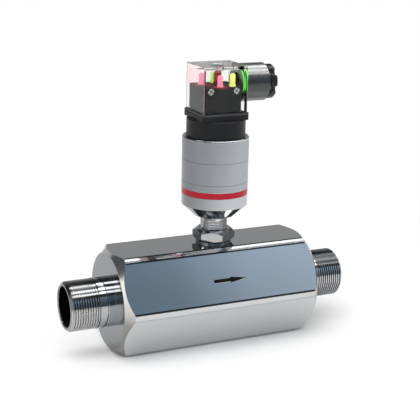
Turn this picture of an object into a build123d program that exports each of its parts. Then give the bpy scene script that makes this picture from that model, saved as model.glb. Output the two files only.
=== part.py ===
import os
from math import cos, radians, sin, tan

from build123d import *

os.makedirs("parts", exist_ok=True)

# Frame: millimetres. X is the flow direction, Z is up. The origin lies under the middle of
# the hexagonal body, on its lower flat.

# Fits between pieces
press_gap = 0.01          # radial gap of a pressed or glued fit
running_gap = 0.05        # radial gap of a turning or sliding fit
loose_gap = 0.3           # gap round a piece that only stands clear

# Hexagonal meter body
hex_across_flats = 60.0
hex_length = 125.0
turned_corner_radius = 33.5   # the bar's long corners are turned to this radius
end_face_radius = 28.6        # flat end face, inside the end cones
end_cone_angle = 43.0         # angle of the end cones from the end face
bore_radius = 12.0
bore_mouth_chamfer = 0.4

# Threaded nipples at both ends
nipple_radius = 15.0          # plain land between the thread and the hexagon
nipple_length = 26.5
nipple_chamfer = 1.5
nipple_thread_length = 17.5
nipple_thread_radius = 14.8   # crests of the thread
pipe_thread_pitch = 1.5
pipe_thread_depth = 0.85
line_groove_offset = 4.4      # from the hexagon's end face
line_groove_width = 0.45
line_groove_depth = 0.3

# Thread form, as shares of the pitch
groove_mouth_share = 0.86
groove_root_share = 0.16
thread_overcut = 0.1

# Rotor chamber and flow straighteners
sensor_x = 5.0                # the sensor stands over the rotor, downstream of the middle
chamber_radius = 11.4
chamber_length = 18.0
vane_length = 22.0
vane_thickness = 1.2
vane_count = 4
vane_first_angle = 45.0
hub_radius = 5.0
nose_length = 7.0
nose_tip_radius = 1.2
ring_thickness = 1.2
ring_section = 1.6
ring_groove_depth = 0.8
ring_split_angle = 36.0

# Rotor and bearings
shaft_radius = 1.0
bush_radius = 2.5
bush_length = 6.0
thrust_plate_thickness = 0.8
rotor_hub_radius = 4.8
rotor_hub_length = 14.0
rotor_tip_radius = 11.0
blade_length = 10.0
blade_thickness = 0.9
blade_twist = 42.0
blade_count = 6
rotor_boss_radius = 2.2

# Flow arrow engraved on the upper front flat
arrow_length = 21.5
arrow_head_length = 10.8
arrow_head_width = 3.6
arrow_tail_width = 2.1
arrow_depth = 0.15
arrow_centre_x = 4.15
arrow_centre_height = 13.6    # above the bore's axis

# Pickup stem, its well and its nut
stem_radius = 7.95
stem_bore_radius = 5.5
stem_thread_pitch = 1.0
stem_thread_depth = 0.6
stem_tip_chamfer = 0.8
stem_floor = 1.2
stem_head_height = 6.0        # how far the stem reaches into the housing
well_floor = 2.2              # wall left between the well and the rotor chamber
well_mouth_chamfer = 0.4
washer_radius = 10.6
washer_thickness = 0.8
nut_across_flats = 22.0
nut_height = 7.4
nut_face_share = 0.9          # round end faces of the nut, as a share of its flats
nut_chamfer_angle = 38.0
nut_flat_angle = 30.0

# Magnetic pickup inside the stem
pole_radius = 1.5
pole_foot_gap = 0.2
bobbin_flange_thickness = 1.2
bobbin_core_wall = 0.8
coil_length = 15.0
coil_wall = 2.3
magnet_radius = 3.5
magnet_length = 6.0
lead_radius = 0.4
lead_offset = 4.6

# Transmitter housing
housing_radius = 19.7
neck_height = 15.0            # from the body's top flat to the housing's underside
neck_radius = 8.4
shoulder_radius = 12.3
shoulder_rise = 1.7
cone_rise = 6.9
cap_height = 6.7
base_wall = 2.6
band_height = 3.6
band_edge = 0.12
spigot_height = 3.2           # spigot of the base above the red band
shell_height = 30.7
shell_wall = 2.1
shell_edge_radius = 0.9
label_thickness = 0.25
label_top_margin = 1.2        # bare steel above the label
label_bottom_margin = 0.3     # bare steel below it
spacer_height = 9.0
spacer_wall = 1.5
board_thickness = 1.6

# Parts on the circuit board, each as length, width, height
chip_size = (7.0, 5.0, 1.8)
chip_x = -3.0
chip_y = -8.0
capacitor_radius = 2.2
capacitor_height = 4.6
capacitor_spacing = 6.0
capacitor_y = 8.0
crystal_size = (4.0, 2.4, 1.4)
crystal_x = 7.0
crystal_y = -7.0

# Connector base: round collar with a square flange
collar_gap = 0.2              # round the collar in the shell's bore
collar_height = 10.6          # above the housing's top edge
collar_depth = 7.0            # below the housing's top edge
collar_edge = 0.5
flange_length = 29.6
flange_width = 28.2
flange_thickness = 2.9
flange_corner_radius = 2.0
flange_edge = 0.45
pedestal_side = 21.0
pedestal_height = 2.2
seal_section_radius = 0.85
seal_drop = 3.5               # below the housing's top edge
gasket_thickness = 1.2
gasket_gap = 0.2              # round the pedestal

# Flat contacts
contact_circle_radius = 8.0
contact_width = 6.3
contact_thickness = 0.8
contact_reach = 9.0           # above the flange
contact_tail = 0.3            # the tails stop this far above the board's parts
contact_count = 4
contact_slot_gap = 0.25
socket_wall = 0.8
socket_height = 7.0

# Clear plug hood
hood_length = 27.8
hood_width = 24.9
hood_height = 27.0
hood_wall = 1.5
hood_top_thickness = 2.2
hood_edge_radius = 0.5
hood_boss_radius = 4.0
hood_boss_depth = 2.4
hood_sleeve_wall = 0.6
head_recess_radius = 3.0
head_recess_depth = 2.8

# Terminal block
block_left_gap = 0.35
block_right_gap = 1.7
block_side_gap = 0.35
block_height = 14.0
notch_width = 12.8
notch_length = 4.6
notch_depth = 4.8
block_edge_radius = 0.5

# Centre screw
screw_radius = 1.5
screw_length = 35.0
screw_pitch = 0.5
screw_head_radius = 2.7
screw_head_height = 1.8
screw_slot_width = 0.7
screw_slot_depth = 0.8
screw_washer_thickness = 0.6
screw_hole_depth = 14.0

# Terminal screws, horizontal in the block's front and rear faces
terminal_left_x = -3.6
terminal_right_x = 12.6
terminal_drop = 2.3           # below the block's top
terminal_head_radius = 1.9
terminal_head_height = 1.0
terminal_head_recess = 1.2
terminal_screw_radius = 1.3
terminal_slot_width = 0.5
clamp_bush_length = 4.0

# Indicator lamps on the block: places of their axes
lamp_radius = 1.55
lamp_flange_radius = 1.9
lamp_flange_height = 1.0
lamp_height = 7.6             # of the yellow and the green lamp
red_lamp_height = 6.8
red_lamp_places = ((-2.9, 3.0), (2.9, -8.4))
yellow_lamp_place = (10.8, -8.4)
green_lamp_place = (5.8, 7.8)

# Cable outlet
gland_radius = 11.2
gland_length = 16.2
gland_end_chamfer = 1.0
gland_drop = 11.4             # axis below the hood's top
gland_spigot_radius = 9.4
gland_bore_radius = 8.1
gland_seat_radius = 6.0
gland_seat_length = 4.6
gland_nut_radius = 10.3
gland_nut_head_length = 4.4
gland_nut_gap = 0.3
gland_nut_hole_radius = 4.6
thrust_ring_hole_radius = 4.85
gland_nut_lobes = 6
gland_nut_groove_radius = 2.1
gland_nut_groove_angle = 21.0
gland_nut_edge = 0.7
thrust_ring_thickness = 1.1
grommet_length = 4.6
grommet_bore_radius = 4.0

# Heights and places worked out from the sizes above
flow_z = hex_across_flats / 2
end_x = hex_length / 2 + nipple_length
top_flat_z = hex_across_flats
chamber_start_x = sensor_x - chamber_length / 2
chamber_end_x = sensor_x + chamber_length / 2
well_z = flow_z + chamber_radius + well_floor
neck_z = top_flat_z + neck_height
shoulder_z = neck_z + shoulder_rise
cone_top_z = shoulder_z + cone_rise
band_z = cone_top_z + cap_height
shell_z = band_z + band_height
shell_top_z = shell_z + shell_height
board_z = shell_z + spigot_height + spacer_height
collar_top_z = shell_top_z + collar_height
flange_top_z = collar_top_z + flange_thickness
hood_z = flange_top_z + gasket_thickness
hood_top_z = hood_z + hood_height
block_z = flange_top_z + pedestal_height
block_top_z = block_z + block_height
gland_z = hood_top_z - gland_drop
hood_right_x = sensor_x + hood_length / 2
washer_seat_z = top_flat_z + washer_thickness
nut_top_z = washer_seat_z + nut_height
shell_bore_radius = housing_radius - shell_wall
spigot_radius = shell_bore_radius - press_gap
sleeve_inner_radius = screw_radius + loose_gap
recess_floor_z = hood_top_z - head_recess_depth
head_seat_z = recess_floor_z + screw_washer_thickness


def across(x):
    """Plane square to the flow at x, with its local y upward."""
    return Plane(origin=(x, 0, flow_z), x_dir=(0, 1, 0), z_dir=(1, 0, 0))


def upright(z, x=sensor_x):
    """Level plane at height z, centred on the sensor's axis."""
    return Plane(origin=(x, 0, z), x_dir=(1, 0, 0), z_dir=(0, 0, 1))


def gland_plane(x):
    """Plane square to the cable outlet at x."""
    return Plane(origin=(x, 0, gland_z), x_dir=(0, 1, 0), z_dir=(1, 0, 0))


def threaded_rod(radius, length, thread_length, pitch, depth, end_chamfer):
    """Rod up the Z axis from the origin, with a helical thread from its chamfered lower end."""
    with BuildPart() as rod:
        with BuildSketch(Plane.XY):
            Circle(radius)
        extrude(amount=length)
        with BuildLine() as path:
            Helix(pitch=pitch, height=thread_length + 1.5 * pitch, radius=radius, center=(0, 0, -pitch))
        with BuildSketch(Plane(origin=path.line @ 0, x_dir=(0, 0, 1), z_dir=path.line % 0)):
            mouth = pitch * groove_mouth_share / 2
            root = pitch * groove_root_share / 2
            with BuildLine():
                Polyline(
                    (-mouth, thread_overcut), (mouth, thread_overcut), (root, -depth), (-root, -depth),
                    close=True,
                )
            make_face()
        sweep(is_frenet=True, mode=Mode.SUBTRACT)
        with BuildSketch(Plane.XZ):
            with BuildLine():
                Polyline(
                    (0, 0), (radius - end_chamfer, 0), (radius, end_chamfer), (radius, length), (0, length),
                    close=True,
                )
            make_face()
        revolve(axis=Axis.Z, mode=Mode.INTERSECT)
    return rod.part


def save(piece, name):
    """Label a finished piece and write it to its own file."""
    piece.label = name
    export_step(piece, f"parts/{name}.step")


# Meter body: hexagonal bar between two nipples, bored through, with a well for the pickup
flow_axis = Axis((0, 0, flow_z), (1, 0, 0))
cone_run = (turned_corner_radius - end_face_radius) * tan(radians(end_cone_angle))
half_hex = hex_length / 2
nipple_root = nipple_chamfer      # the nipples run this far into the hexagon
nipple = threaded_rod(
    nipple_thread_radius, nipple_length + nipple_root, nipple_thread_length,
    pipe_thread_pitch, pipe_thread_depth, nipple_chamfer,
)

with BuildPart() as meter_body:
    with BuildSketch(across(-half_hex)):
        RegularPolygon(hex_across_flats / 2, 6, major_radius=False)
    extrude(amount=hex_length)
    with BuildSketch(Plane.XZ):
        with BuildLine():
            Polyline(
                (-half_hex, flow_z),
                (-half_hex, flow_z + end_face_radius),
                (-half_hex + cone_run, flow_z + turned_corner_radius),
                (half_hex - cone_run, flow_z + turned_corner_radius),
                (half_hex, flow_z + end_face_radius),
                (half_hex, flow_z),
                close=True,
            )
        make_face()
    revolve(axis=flow_axis, mode=Mode.INTERSECT)
    for side in (-1, 1):
        end_plane = Plane(origin=(side * end_x, 0, flow_z), x_dir=(0, 1, 0), z_dir=(-side, 0, 0))
        add(end_plane * nipple)
        with BuildSketch(end_plane.offset(nipple_thread_length)):
            Circle(nipple_radius)
        extrude(amount=nipple_length + nipple_root - nipple_thread_length)
        groove_x = side * (half_hex + line_groove_offset)
        with BuildSketch(Plane.XZ):
            with BuildLine():
                Polyline(
                    (groove_x - line_groove_width / 2, flow_z + nipple_radius),
                    (groove_x, flow_z + nipple_radius - line_groove_depth),
                    (groove_x + line_groove_width / 2, flow_z + nipple_radius),
                    (groove_x, flow_z + nipple_radius + line_groove_depth),
                    close=True,
                )
            make_face()
        revolve(axis=flow_axis, mode=Mode.SUBTRACT)
    with BuildSketch(Plane.XZ):
        ring_start = chamber_start_x - vane_length
        ring_end = chamber_end_x + vane_length
        mouth = bore_radius + bore_mouth_chamfer
        groove = bore_radius + ring_groove_depth
        with BuildLine():
            Polyline(
                (-end_x, flow_z),
                (-end_x, flow_z + mouth),
                (-end_x + bore_mouth_chamfer, flow_z + bore_radius),
                (ring_start - ring_thickness, flow_z + bore_radius),
                (ring_start - ring_thickness, flow_z + groove),
                (ring_start, flow_z + groove),
                (ring_start, flow_z + bore_radius),
                (chamber_start_x, flow_z + bore_radius),
                (chamber_start_x, flow_z + chamber_radius),
                (chamber_end_x, flow_z + chamber_radius),
                (chamber_end_x, flow_z + bore_radius),
                (ring_end, flow_z + bore_radius),
                (ring_end, flow_z + groove),
                (ring_end + ring_thickness, flow_z + groove),
                (ring_end + ring_thickness, flow_z + bore_radius),
                (end_x - bore_mouth_chamfer, flow_z + bore_radius),
                (end_x, flow_z + mouth),
                (end_x, flow_z),
                close=True,
            )
        make_face()
    revolve(axis=flow_axis, mode=Mode.SUBTRACT)
    with BuildSketch(upright(well_z)):
        Circle(stem_radius + running_gap)
    extrude(amount=top_flat_z - well_z, mode=Mode.SUBTRACT)
    with BuildSketch(upright(top_flat_z - well_mouth_chamfer)):
        Circle(stem_radius + running_gap)
    extrude(amount=well_mouth_chamfer, taper=-45, mode=Mode.SUBTRACT)
    front_normal = (0, -sin(radians(60)), cos(radians(60)))
    face_centre_y = -hex_across_flats / 2 * sin(radians(60))
    face_centre_z = flow_z + hex_across_flats / 2 * cos(radians(60))
    rise = (flow_z + arrow_centre_height - face_centre_z) / sin(radians(60))
    arrow_plane = Plane(
        origin=(
            arrow_centre_x,
            face_centre_y + rise * cos(radians(60)),
            face_centre_z + rise * sin(radians(60)),
        ),
        x_dir=(1, 0, 0),
        z_dir=front_normal,
    )
    with BuildSketch(arrow_plane):
        neck_x = arrow_length / 2 - arrow_head_length
        with BuildLine():
            Polyline(
                (-arrow_length / 2, -arrow_tail_width / 2),
                (neck_x, -arrow_tail_width / 2),
                (neck_x, -arrow_head_width / 2),
                (arrow_length / 2, 0),
                (neck_x, arrow_head_width / 2),
                (neck_x, arrow_tail_width / 2),
                (-arrow_length / 2, arrow_tail_width / 2),
                close=True,
            )
        make_face()
    extrude(amount=-arrow_depth, mode=Mode.SUBTRACT)
save(meter_body.part, "meter_body")


# Flow straighteners: a nosed hub on four vanes, one each side of the rotor
def straightener(face_x, outward):
    """Straightener whose hub ends at face_x, with its nose pointing outward along X."""
    vane_end_x = face_x + outward * vane_length
    nose_x = vane_end_x + outward * nose_length
    pocket_x = face_x + outward * (bush_length + thrust_plate_thickness)
    pocket_radius = bush_radius + press_gap
    with BuildPart() as piece:
        with BuildSketch(across(min(face_x, vane_end_x))):
            Circle(hub_radius)
            span = bore_radius - running_gap
            with PolarLocations(span / 2, vane_count, start_angle=vane_first_angle):
                Rectangle(span, vane_thickness)
        extrude(amount=vane_length)
        with BuildSketch(Plane.XZ):
            with BuildLine():
                Polyline((vane_end_x, flow_z), (nose_x, flow_z), (nose_x, flow_z + nose_tip_radius))
                Spline(
                    (nose_x, flow_z + nose_tip_radius),
                    (vane_end_x, flow_z + hub_radius),
                    tangents=((-outward * 0.6, 1), (-outward, 0)),
                )
                Line((vane_end_x, flow_z + hub_radius), (vane_end_x, flow_z))
            make_face()
        revolve(axis=flow_axis)
        with BuildSketch(across(min(face_x, pocket_x))):
            Circle(pocket_radius)
        extrude(amount=abs(pocket_x - face_x), mode=Mode.SUBTRACT)
    return piece.part


save(straightener(chamber_start_x, -1), "inlet_straightener")
save(straightener(chamber_end_x, 1), "outlet_straightener")


# Retaining rings: split spring rings in the grooves of the bore
def retaining_ring(start_x):
    """Split ring with two eyes for the pliers, from start_x to the right."""
    outer = bore_radius + ring_groove_depth - press_gap
    inner = outer - ring_section
    eye_angle = ring_split_angle / 2
    eye_radius = ring_section * 0.9
    eye_centre = inner - eye_radius * 0.3
    with BuildPart() as piece:
        with BuildSketch(across(start_x)):
            Circle(outer)
            Circle(inner, mode=Mode.SUBTRACT)
            with BuildLine():
                reach = outer * 1.2
                Polyline(
                    (0, 0),
                    (-reach * sin(radians(eye_angle)), -reach * cos(radians(eye_angle))),
                    (reach * sin(radians(eye_angle)), -reach * cos(radians(eye_angle))),
                    close=True,
                )
            make_face(mode=Mode.SUBTRACT)
            for side in (-1, 1):
                turn = radians(eye_angle) + eye_radius / inner
                with Locations((side * eye_centre * sin(turn), -eye_centre * cos(turn))):
                    Circle(eye_radius)
                    Circle(eye_radius * 0.4, mode=Mode.SUBTRACT)
        extrude(amount=ring_thickness)
    return piece.part


save(retaining_ring(chamber_start_x - vane_length - ring_thickness), "inlet_retaining_ring")
save(retaining_ring(chamber_end_x + vane_length), "outlet_retaining_ring")


# Bushes and thrust plates in the hubs
def bush(start_x):
    """Plain bearing from start_x to the right."""
    with BuildPart() as piece:
        with BuildSketch(across(start_x)):
            Circle(bush_radius)
            Circle(shaft_radius + running_gap, mode=Mode.SUBTRACT)
        extrude(amount=bush_length)
    return piece.part


save(bush(chamber_start_x - bush_length), "inlet_bush")
save(bush(chamber_end_x), "outlet_bush")

with BuildPart() as thrust_plates:
    left_plate_x = chamber_start_x - bush_length - thrust_plate_thickness
    for start_x in (left_plate_x, chamber_end_x + bush_length):
        with BuildSketch(across(start_x)):
            Circle(bush_radius)
        extrude(amount=thrust_plate_thickness)
save(thrust_plates.part, "thrust_plates")


# Rotor: hub with twisted blades
blade_start_x = sensor_x - blade_length / 2
rotor_start_x = sensor_x - rotor_hub_length / 2
with BuildSketch(across(blade_start_x)) as blade_section:
    root = rotor_hub_radius * 0.8
    with Locations(((root + rotor_tip_radius) / 2, 0)):
        Rectangle(rotor_tip_radius - root, blade_thickness)
twisted_blade = Solid.extrude_linear_with_rotation(
    blade_section.sketch.faces()[0],
    (blade_start_x, 0, flow_z),
    (blade_length, 0, 0),
    blade_twist,
)
with BuildPart() as rotor:
    with BuildSketch(across(rotor_start_x)):
        Circle(rotor_boss_radius)
    extrude(amount=rotor_hub_length)
    with BuildSketch(across(blade_start_x)):
        Circle(rotor_hub_radius)
    extrude(amount=blade_length)
    for index in range(blade_count):
        add(twisted_blade.rotate(flow_axis, index * 360 / blade_count))
    with BuildSketch(across(rotor_start_x)):
        Circle(shaft_radius + press_gap)
    extrude(amount=rotor_hub_length, mode=Mode.SUBTRACT)
save(rotor.part, "rotor")

shaft_end_gap = running_gap
with BuildPart() as rotor_shaft:
    with BuildSketch(across(chamber_start_x - bush_length + shaft_end_gap)):
        Circle(shaft_radius)
    extrude(amount=chamber_length + 2 * (bush_length - shaft_end_gap))
    chamfer(rotor_shaft.edges().filter_by(GeomType.CIRCLE), shaft_radius * 0.25)
save(rotor_shaft.part, "rotor_shaft")


# Pickup stem: threaded tube with a closed foot
stem_foot_z = well_z + pole_foot_gap
stem_top_z = cone_top_z + stem_head_height
stem_rod = threaded_rod(
    stem_radius, stem_top_z - stem_foot_z, neck_z - stem_foot_z - stem_thread_pitch,
    stem_thread_pitch, stem_thread_depth, stem_tip_chamfer,
)
with BuildPart() as pickup_stem:
    add(upright(stem_foot_z) * stem_rod)
    with BuildSketch(upright(stem_foot_z + stem_floor)):
        Circle(stem_bore_radius)
    extrude(amount=stem_top_z - stem_foot_z - stem_floor, mode=Mode.SUBTRACT)
save(pickup_stem.part, "pickup_stem")

with BuildPart() as stem_washer:
    with BuildSketch(upright(top_flat_z)):
        Circle(washer_radius)
        Circle(stem_radius + running_gap, mode=Mode.SUBTRACT)
    extrude(amount=washer_thickness)
save(stem_washer.part, "stem_washer")

# Lock nut: hexagon with both faces chamfered by cones
nut_corner_radius = nut_across_flats / 2 / cos(radians(30))
nut_face_radius = nut_across_flats / 2 * nut_face_share
nut_cone_rise = (nut_corner_radius - nut_face_radius) * tan(radians(nut_chamfer_angle))
with BuildPart() as lock_nut:
    with BuildSketch(upright(washer_seat_z)):
        RegularPolygon(nut_across_flats / 2, 6, major_radius=False, rotation=nut_flat_angle)
    extrude(amount=nut_height)
    with BuildSketch(Plane.XZ):
        with BuildLine():
            Polyline(
                (sensor_x, washer_seat_z),
                (sensor_x + nut_face_radius, washer_seat_z),
                (sensor_x + nut_corner_radius, washer_seat_z + nut_cone_rise),
                (sensor_x + nut_corner_radius, nut_top_z - nut_cone_rise),
                (sensor_x + nut_face_radius, nut_top_z),
                (sensor_x, nut_top_z),
                close=True,
            )
        make_face()
    revolve(axis=Axis((sensor_x, 0, 0), (0, 0, 1)), mode=Mode.INTERSECT)
    with BuildSketch(upright(washer_seat_z)):
        Circle(stem_radius + running_gap)
    extrude(amount=nut_height, mode=Mode.SUBTRACT)
    chamfer(
        lock_nut.edges().filter_by(GeomType.CIRCLE).filter_by(
            lambda edge: abs(edge.radius - stem_radius - running_gap) < press_gap
        ),
        stem_thread_depth * 0.8,
    )
save(lock_nut.part, "lock_nut")


# Magnetic pickup inside the stem
bobbin_radius = stem_bore_radius - press_gap
bobbin_z = stem_foot_z + stem_floor
bobbin_top_z = bobbin_z + coil_length + 2 * bobbin_flange_thickness
pole_hole_radius = pole_radius + press_gap
core_radius = pole_hole_radius + bobbin_core_wall
with BuildPart() as coil_bobbin:
    for start_z in (bobbin_z, bobbin_top_z - bobbin_flange_thickness):
        with BuildSketch(upright(start_z)):
            Circle(bobbin_radius)
        extrude(amount=bobbin_flange_thickness)
    with BuildSketch(upright(bobbin_z)):
        Circle(core_radius)
    extrude(amount=bobbin_top_z - bobbin_z)
    with BuildSketch(upright(bobbin_z)):
        Circle(pole_hole_radius)
    extrude(amount=bobbin_top_z - bobbin_z, mode=Mode.SUBTRACT)
save(coil_bobbin.part, "coil_bobbin")

with BuildPart() as pickup_coil:
    with BuildSketch(upright(bobbin_z + bobbin_flange_thickness)):
        Circle(core_radius + press_gap + coil_wall)
        Circle(core_radius + press_gap, mode=Mode.SUBTRACT)
    extrude(amount=coil_length)
save(pickup_coil.part, "pickup_coil")

with BuildPart() as pole_pin:
    with BuildSketch(upright(bobbin_z)):
        Circle(pole_radius)
    extrude(amount=bobbin_top_z - bobbin_z)
save(pole_pin.part, "pole_pin")

with BuildPart() as pickup_magnet:
    with BuildSketch(upright(bobbin_top_z)):
        Circle(magnet_radius)
    extrude(amount=magnet_length)
save(pickup_magnet.part, "pickup_magnet")

with BuildPart() as coil_leads:
    with BuildSketch(upright(bobbin_top_z)):
        with Locations((lead_offset, 0), (-lead_offset, 0)):
            Circle(lead_radius)
    extrude(amount=board_z - bobbin_top_z)
save(coil_leads.part, "coil_leads")


# Housing base: coned cap with a spigot for the red band and the shell
sensor_axis = Axis((sensor_x, 0, 0), (0, 0, 1))
spigot_top_z = shell_z + spigot_height
base_inner_radius = spigot_radius - spacer_wall
with BuildPart() as housing_base:
    with BuildSketch(Plane.XZ):
        with BuildLine():
            Polyline(
                (sensor_x + stem_radius + press_gap, neck_z),
                (sensor_x + neck_radius, neck_z),
                (sensor_x + shoulder_radius, shoulder_z),
                (sensor_x + housing_radius, cone_top_z),
                (sensor_x + housing_radius, band_z),
                (sensor_x + spigot_radius, band_z),
                (sensor_x + spigot_radius, spigot_top_z),
                (sensor_x + base_inner_radius, spigot_top_z),
                (sensor_x + base_inner_radius, cone_top_z + base_wall / 2),
                (sensor_x + shoulder_radius, shoulder_z + base_wall * 1.5),
                (sensor_x + stem_radius + press_gap, shoulder_z + base_wall * 1.5),
                close=True,
            )
        make_face()
    revolve(axis=sensor_axis)
save(housing_base.part, "housing_base")

with BuildPart() as red_band:
    with BuildSketch(upright(band_z)):
        Circle(housing_radius)
        Circle(spigot_radius + press_gap, mode=Mode.SUBTRACT)
    extrude(amount=band_height)
    chamfer(
        red_band.edges().filter_by(GeomType.CIRCLE).group_by(lambda edge: edge.radius)[-1],
        band_edge,
    )
save(red_band.part, "red_band")

# Housing shell: tube with a shallow recess for the label
label_top_z = shell_top_z - label_top_margin
label_z = shell_z + label_bottom_margin
label_height = label_top_z - label_z
with BuildPart() as housing_shell:
    with BuildSketch(upright(shell_z)):
        Circle(housing_radius)
        Circle(shell_bore_radius, mode=Mode.SUBTRACT)
    extrude(amount=shell_height)
    fillet(
        housing_shell.faces().sort_by(Axis.Z)[-1].edges().sort_by(SortBy.LENGTH)[-1],
        min(shell_edge_radius, shell_wall * 0.9, label_top_margin * 0.9),
    )
    with BuildSketch(upright(label_z)):
        Circle(housing_radius + thread_overcut)
        Circle(housing_radius - label_thickness, mode=Mode.SUBTRACT)
    extrude(amount=label_height, mode=Mode.SUBTRACT)
save(housing_shell.part, "housing_shell")

with BuildPart() as label_sleeve:
    with BuildSketch(upright(label_z)):
        Circle(housing_radius)
        Circle(housing_radius - label_thickness + press_gap, mode=Mode.SUBTRACT)
    extrude(amount=label_height)
save(label_sleeve.part, "label_sleeve")


# Pulse amplifier: spacer, board and the parts on it
with BuildPart() as board_spacer:
    with BuildSketch(upright(spigot_top_z)):
        Circle(spigot_radius)
        Circle(base_inner_radius, mode=Mode.SUBTRACT)
    extrude(amount=spacer_height)
save(board_spacer.part, "board_spacer")

board_top_z = board_z + board_thickness
with BuildPart() as circuit_board:
    with BuildSketch(upright(board_z)):
        Circle(spigot_radius)
    extrude(amount=board_thickness)
save(circuit_board.part, "circuit_board")

with BuildPart() as board_components:
    with BuildSketch(upright(board_top_z)):
        with Locations((chip_x, chip_y)):
            Rectangle(chip_size[0], chip_size[1])
    extrude(amount=chip_size[2])
    with BuildSketch(upright(board_top_z)):
        with Locations((crystal_x, crystal_y)):
            SlotOverall(crystal_size[0], crystal_size[1])
    extrude(amount=crystal_size[2])
    with BuildSketch(upright(board_top_z)):
        with Locations((-capacitor_spacing / 2, capacitor_y), (capacitor_spacing / 2, capacitor_y)):
            Circle(capacitor_radius)
    extrude(amount=capacitor_height)
save(board_components.part, "board_components")


# Connector base: collar, square flange and the pedestal that carries the contacts
collar_z = shell_top_z - collar_depth
collar_radius = shell_bore_radius - collar_gap
seal_z = shell_top_z - seal_drop
seal_ring_radius = shell_bore_radius - press_gap - seal_section_radius
screw_hole_radius = screw_radius + running_gap
with BuildPart() as connector_base:
    with BuildSketch(upright(collar_z)):
        Circle(collar_radius)
    extrude(amount=collar_top_z - collar_z)
    chamfer(connector_base.faces().sort_by(Axis.Z)[-1].edges(), collar_edge)
    with BuildSketch(upright(collar_top_z)):
        RectangleRounded(flange_length, flange_width, flange_corner_radius)
    extrude(amount=flange_thickness)
    chamfer(connector_base.faces().sort_by(Axis.Z)[-1].edges(), flange_edge)
    with BuildSketch(upright(flange_top_z)):
        RectangleRounded(pedestal_side, pedestal_side, flange_corner_radius / 2)
    extrude(amount=pedestal_height)
    with BuildSketch(upright(seal_z - seal_section_radius - running_gap)):
        Circle(collar_radius + thread_overcut)
        Circle(seal_ring_radius - seal_section_radius - running_gap, mode=Mode.SUBTRACT)
    extrude(amount=2 * (seal_section_radius + running_gap), mode=Mode.SUBTRACT)
    with BuildSketch(upright(block_z)):
        Circle(screw_hole_radius)
    extrude(amount=-screw_hole_depth, mode=Mode.SUBTRACT)
    with BuildSketch(upright(collar_z)):
        with PolarLocations(contact_circle_radius, contact_count):
            Rectangle(contact_thickness + 2 * press_gap, contact_width + 2 * press_gap)
    extrude(amount=block_z - collar_z, mode=Mode.SUBTRACT)
save(connector_base.part, "connector_base")

with BuildPart() as housing_seal:
    with BuildSketch(Plane.XZ):
        with Locations((sensor_x + seal_ring_radius, seal_z)):
            Circle(seal_section_radius)
    revolve(axis=sensor_axis)
save(housing_seal.part, "housing_seal")

tail_z = board_top_z + capacitor_height + contact_tail
contact_top_z = flange_top_z + contact_reach
with BuildPart() as contact_blades:
    with BuildSketch(upright(tail_z)):
        with PolarLocations(contact_circle_radius, contact_count):
            Rectangle(contact_thickness, contact_width)
    extrude(amount=contact_top_z - tail_z)
    chamfer(
        contact_blades.faces().filter_by(Axis.Z).group_by(Axis.Z)[-1].edges(),
        contact_thickness * 0.3,
    )
save(contact_blades.part, "contact_blades")

with BuildPart() as profile_gasket:
    with BuildSketch(upright(flange_top_z)):
        RectangleRounded(flange_length, flange_width, flange_corner_radius)
        inner_side = pedestal_side + 2 * gasket_gap
        RectangleRounded(inner_side, inner_side, flange_corner_radius / 2, mode=Mode.SUBTRACT)
    extrude(amount=gasket_thickness)
save(profile_gasket.part, "profile_gasket")


# Plug hood: clear box, open below, with a sleeve for the centre screw
inner_top_z = hood_top_z - hood_top_thickness
sleeve_outer_radius = sleeve_inner_radius + hood_sleeve_wall
with BuildPart() as plug_hood:
    with BuildSketch(upright(hood_z)):
        Rectangle(hood_length, hood_width)
    extrude(amount=hood_height)
    fillet(plug_hood.edges().filter_by(Axis.Z), hood_edge_radius)
    fillet(plug_hood.faces().sort_by(Axis.Z)[-1].edges(), hood_edge_radius * 0.8)
    with BuildSketch(upright(hood_z)):
        Rectangle(hood_length - 2 * hood_wall, hood_width - 2 * hood_wall)
    extrude(amount=inner_top_z - hood_z, mode=Mode.SUBTRACT)
    with BuildSketch(upright(inner_top_z - hood_boss_depth)):
        Circle(hood_boss_radius)
    extrude(amount=hood_boss_depth)
    with BuildSketch(upright(block_top_z + loose_gap / 2)):
        Circle(sleeve_outer_radius)
    extrude(amount=inner_top_z - block_top_z - loose_gap / 2)
    with BuildSketch(upright(block_top_z)):
        Circle(sleeve_inner_radius)
    extrude(amount=hood_top_z - block_top_z, mode=Mode.SUBTRACT)
    with BuildSketch(upright(recess_floor_z)):
        Circle(head_recess_radius)
    extrude(amount=head_recess_depth, mode=Mode.SUBTRACT)
    with BuildSketch(gland_plane(hood_right_x - hood_wall)):
        Circle(gland_spigot_radius + press_gap)
    extrude(amount=hood_wall, mode=Mode.SUBTRACT)
save(plug_hood.part, "plug_hood")


# Terminal block with its notch for the cable's cores
block_left_x = sensor_x - hood_length / 2 + hood_wall + block_left_gap
block_right_x = hood_right_x - hood_wall - block_right_gap
block_half_width = hood_width / 2 - hood_wall - block_side_gap
terminal_z = block_top_z - terminal_drop
terminal_xs = (terminal_left_x, terminal_right_x)
pocket_width = contact_width + 2 * (contact_slot_gap + socket_wall)
pocket_depth = contact_thickness + 2 * (contact_slot_gap + socket_wall)


def side_plane(side, depth=0.0):
    """Upright plane on the block's front (-1) or rear (1) face, depth inward, facing inward."""
    return Plane(
        origin=(0, side * (block_half_width - depth), terminal_z), x_dir=(-side, 0, 0), z_dir=(0, -side, 0)
    )


def terminal_places(side):
    """Local places of the two terminal screws on a side plane."""
    return [(-side * x, 0) for x in terminal_xs]


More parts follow.
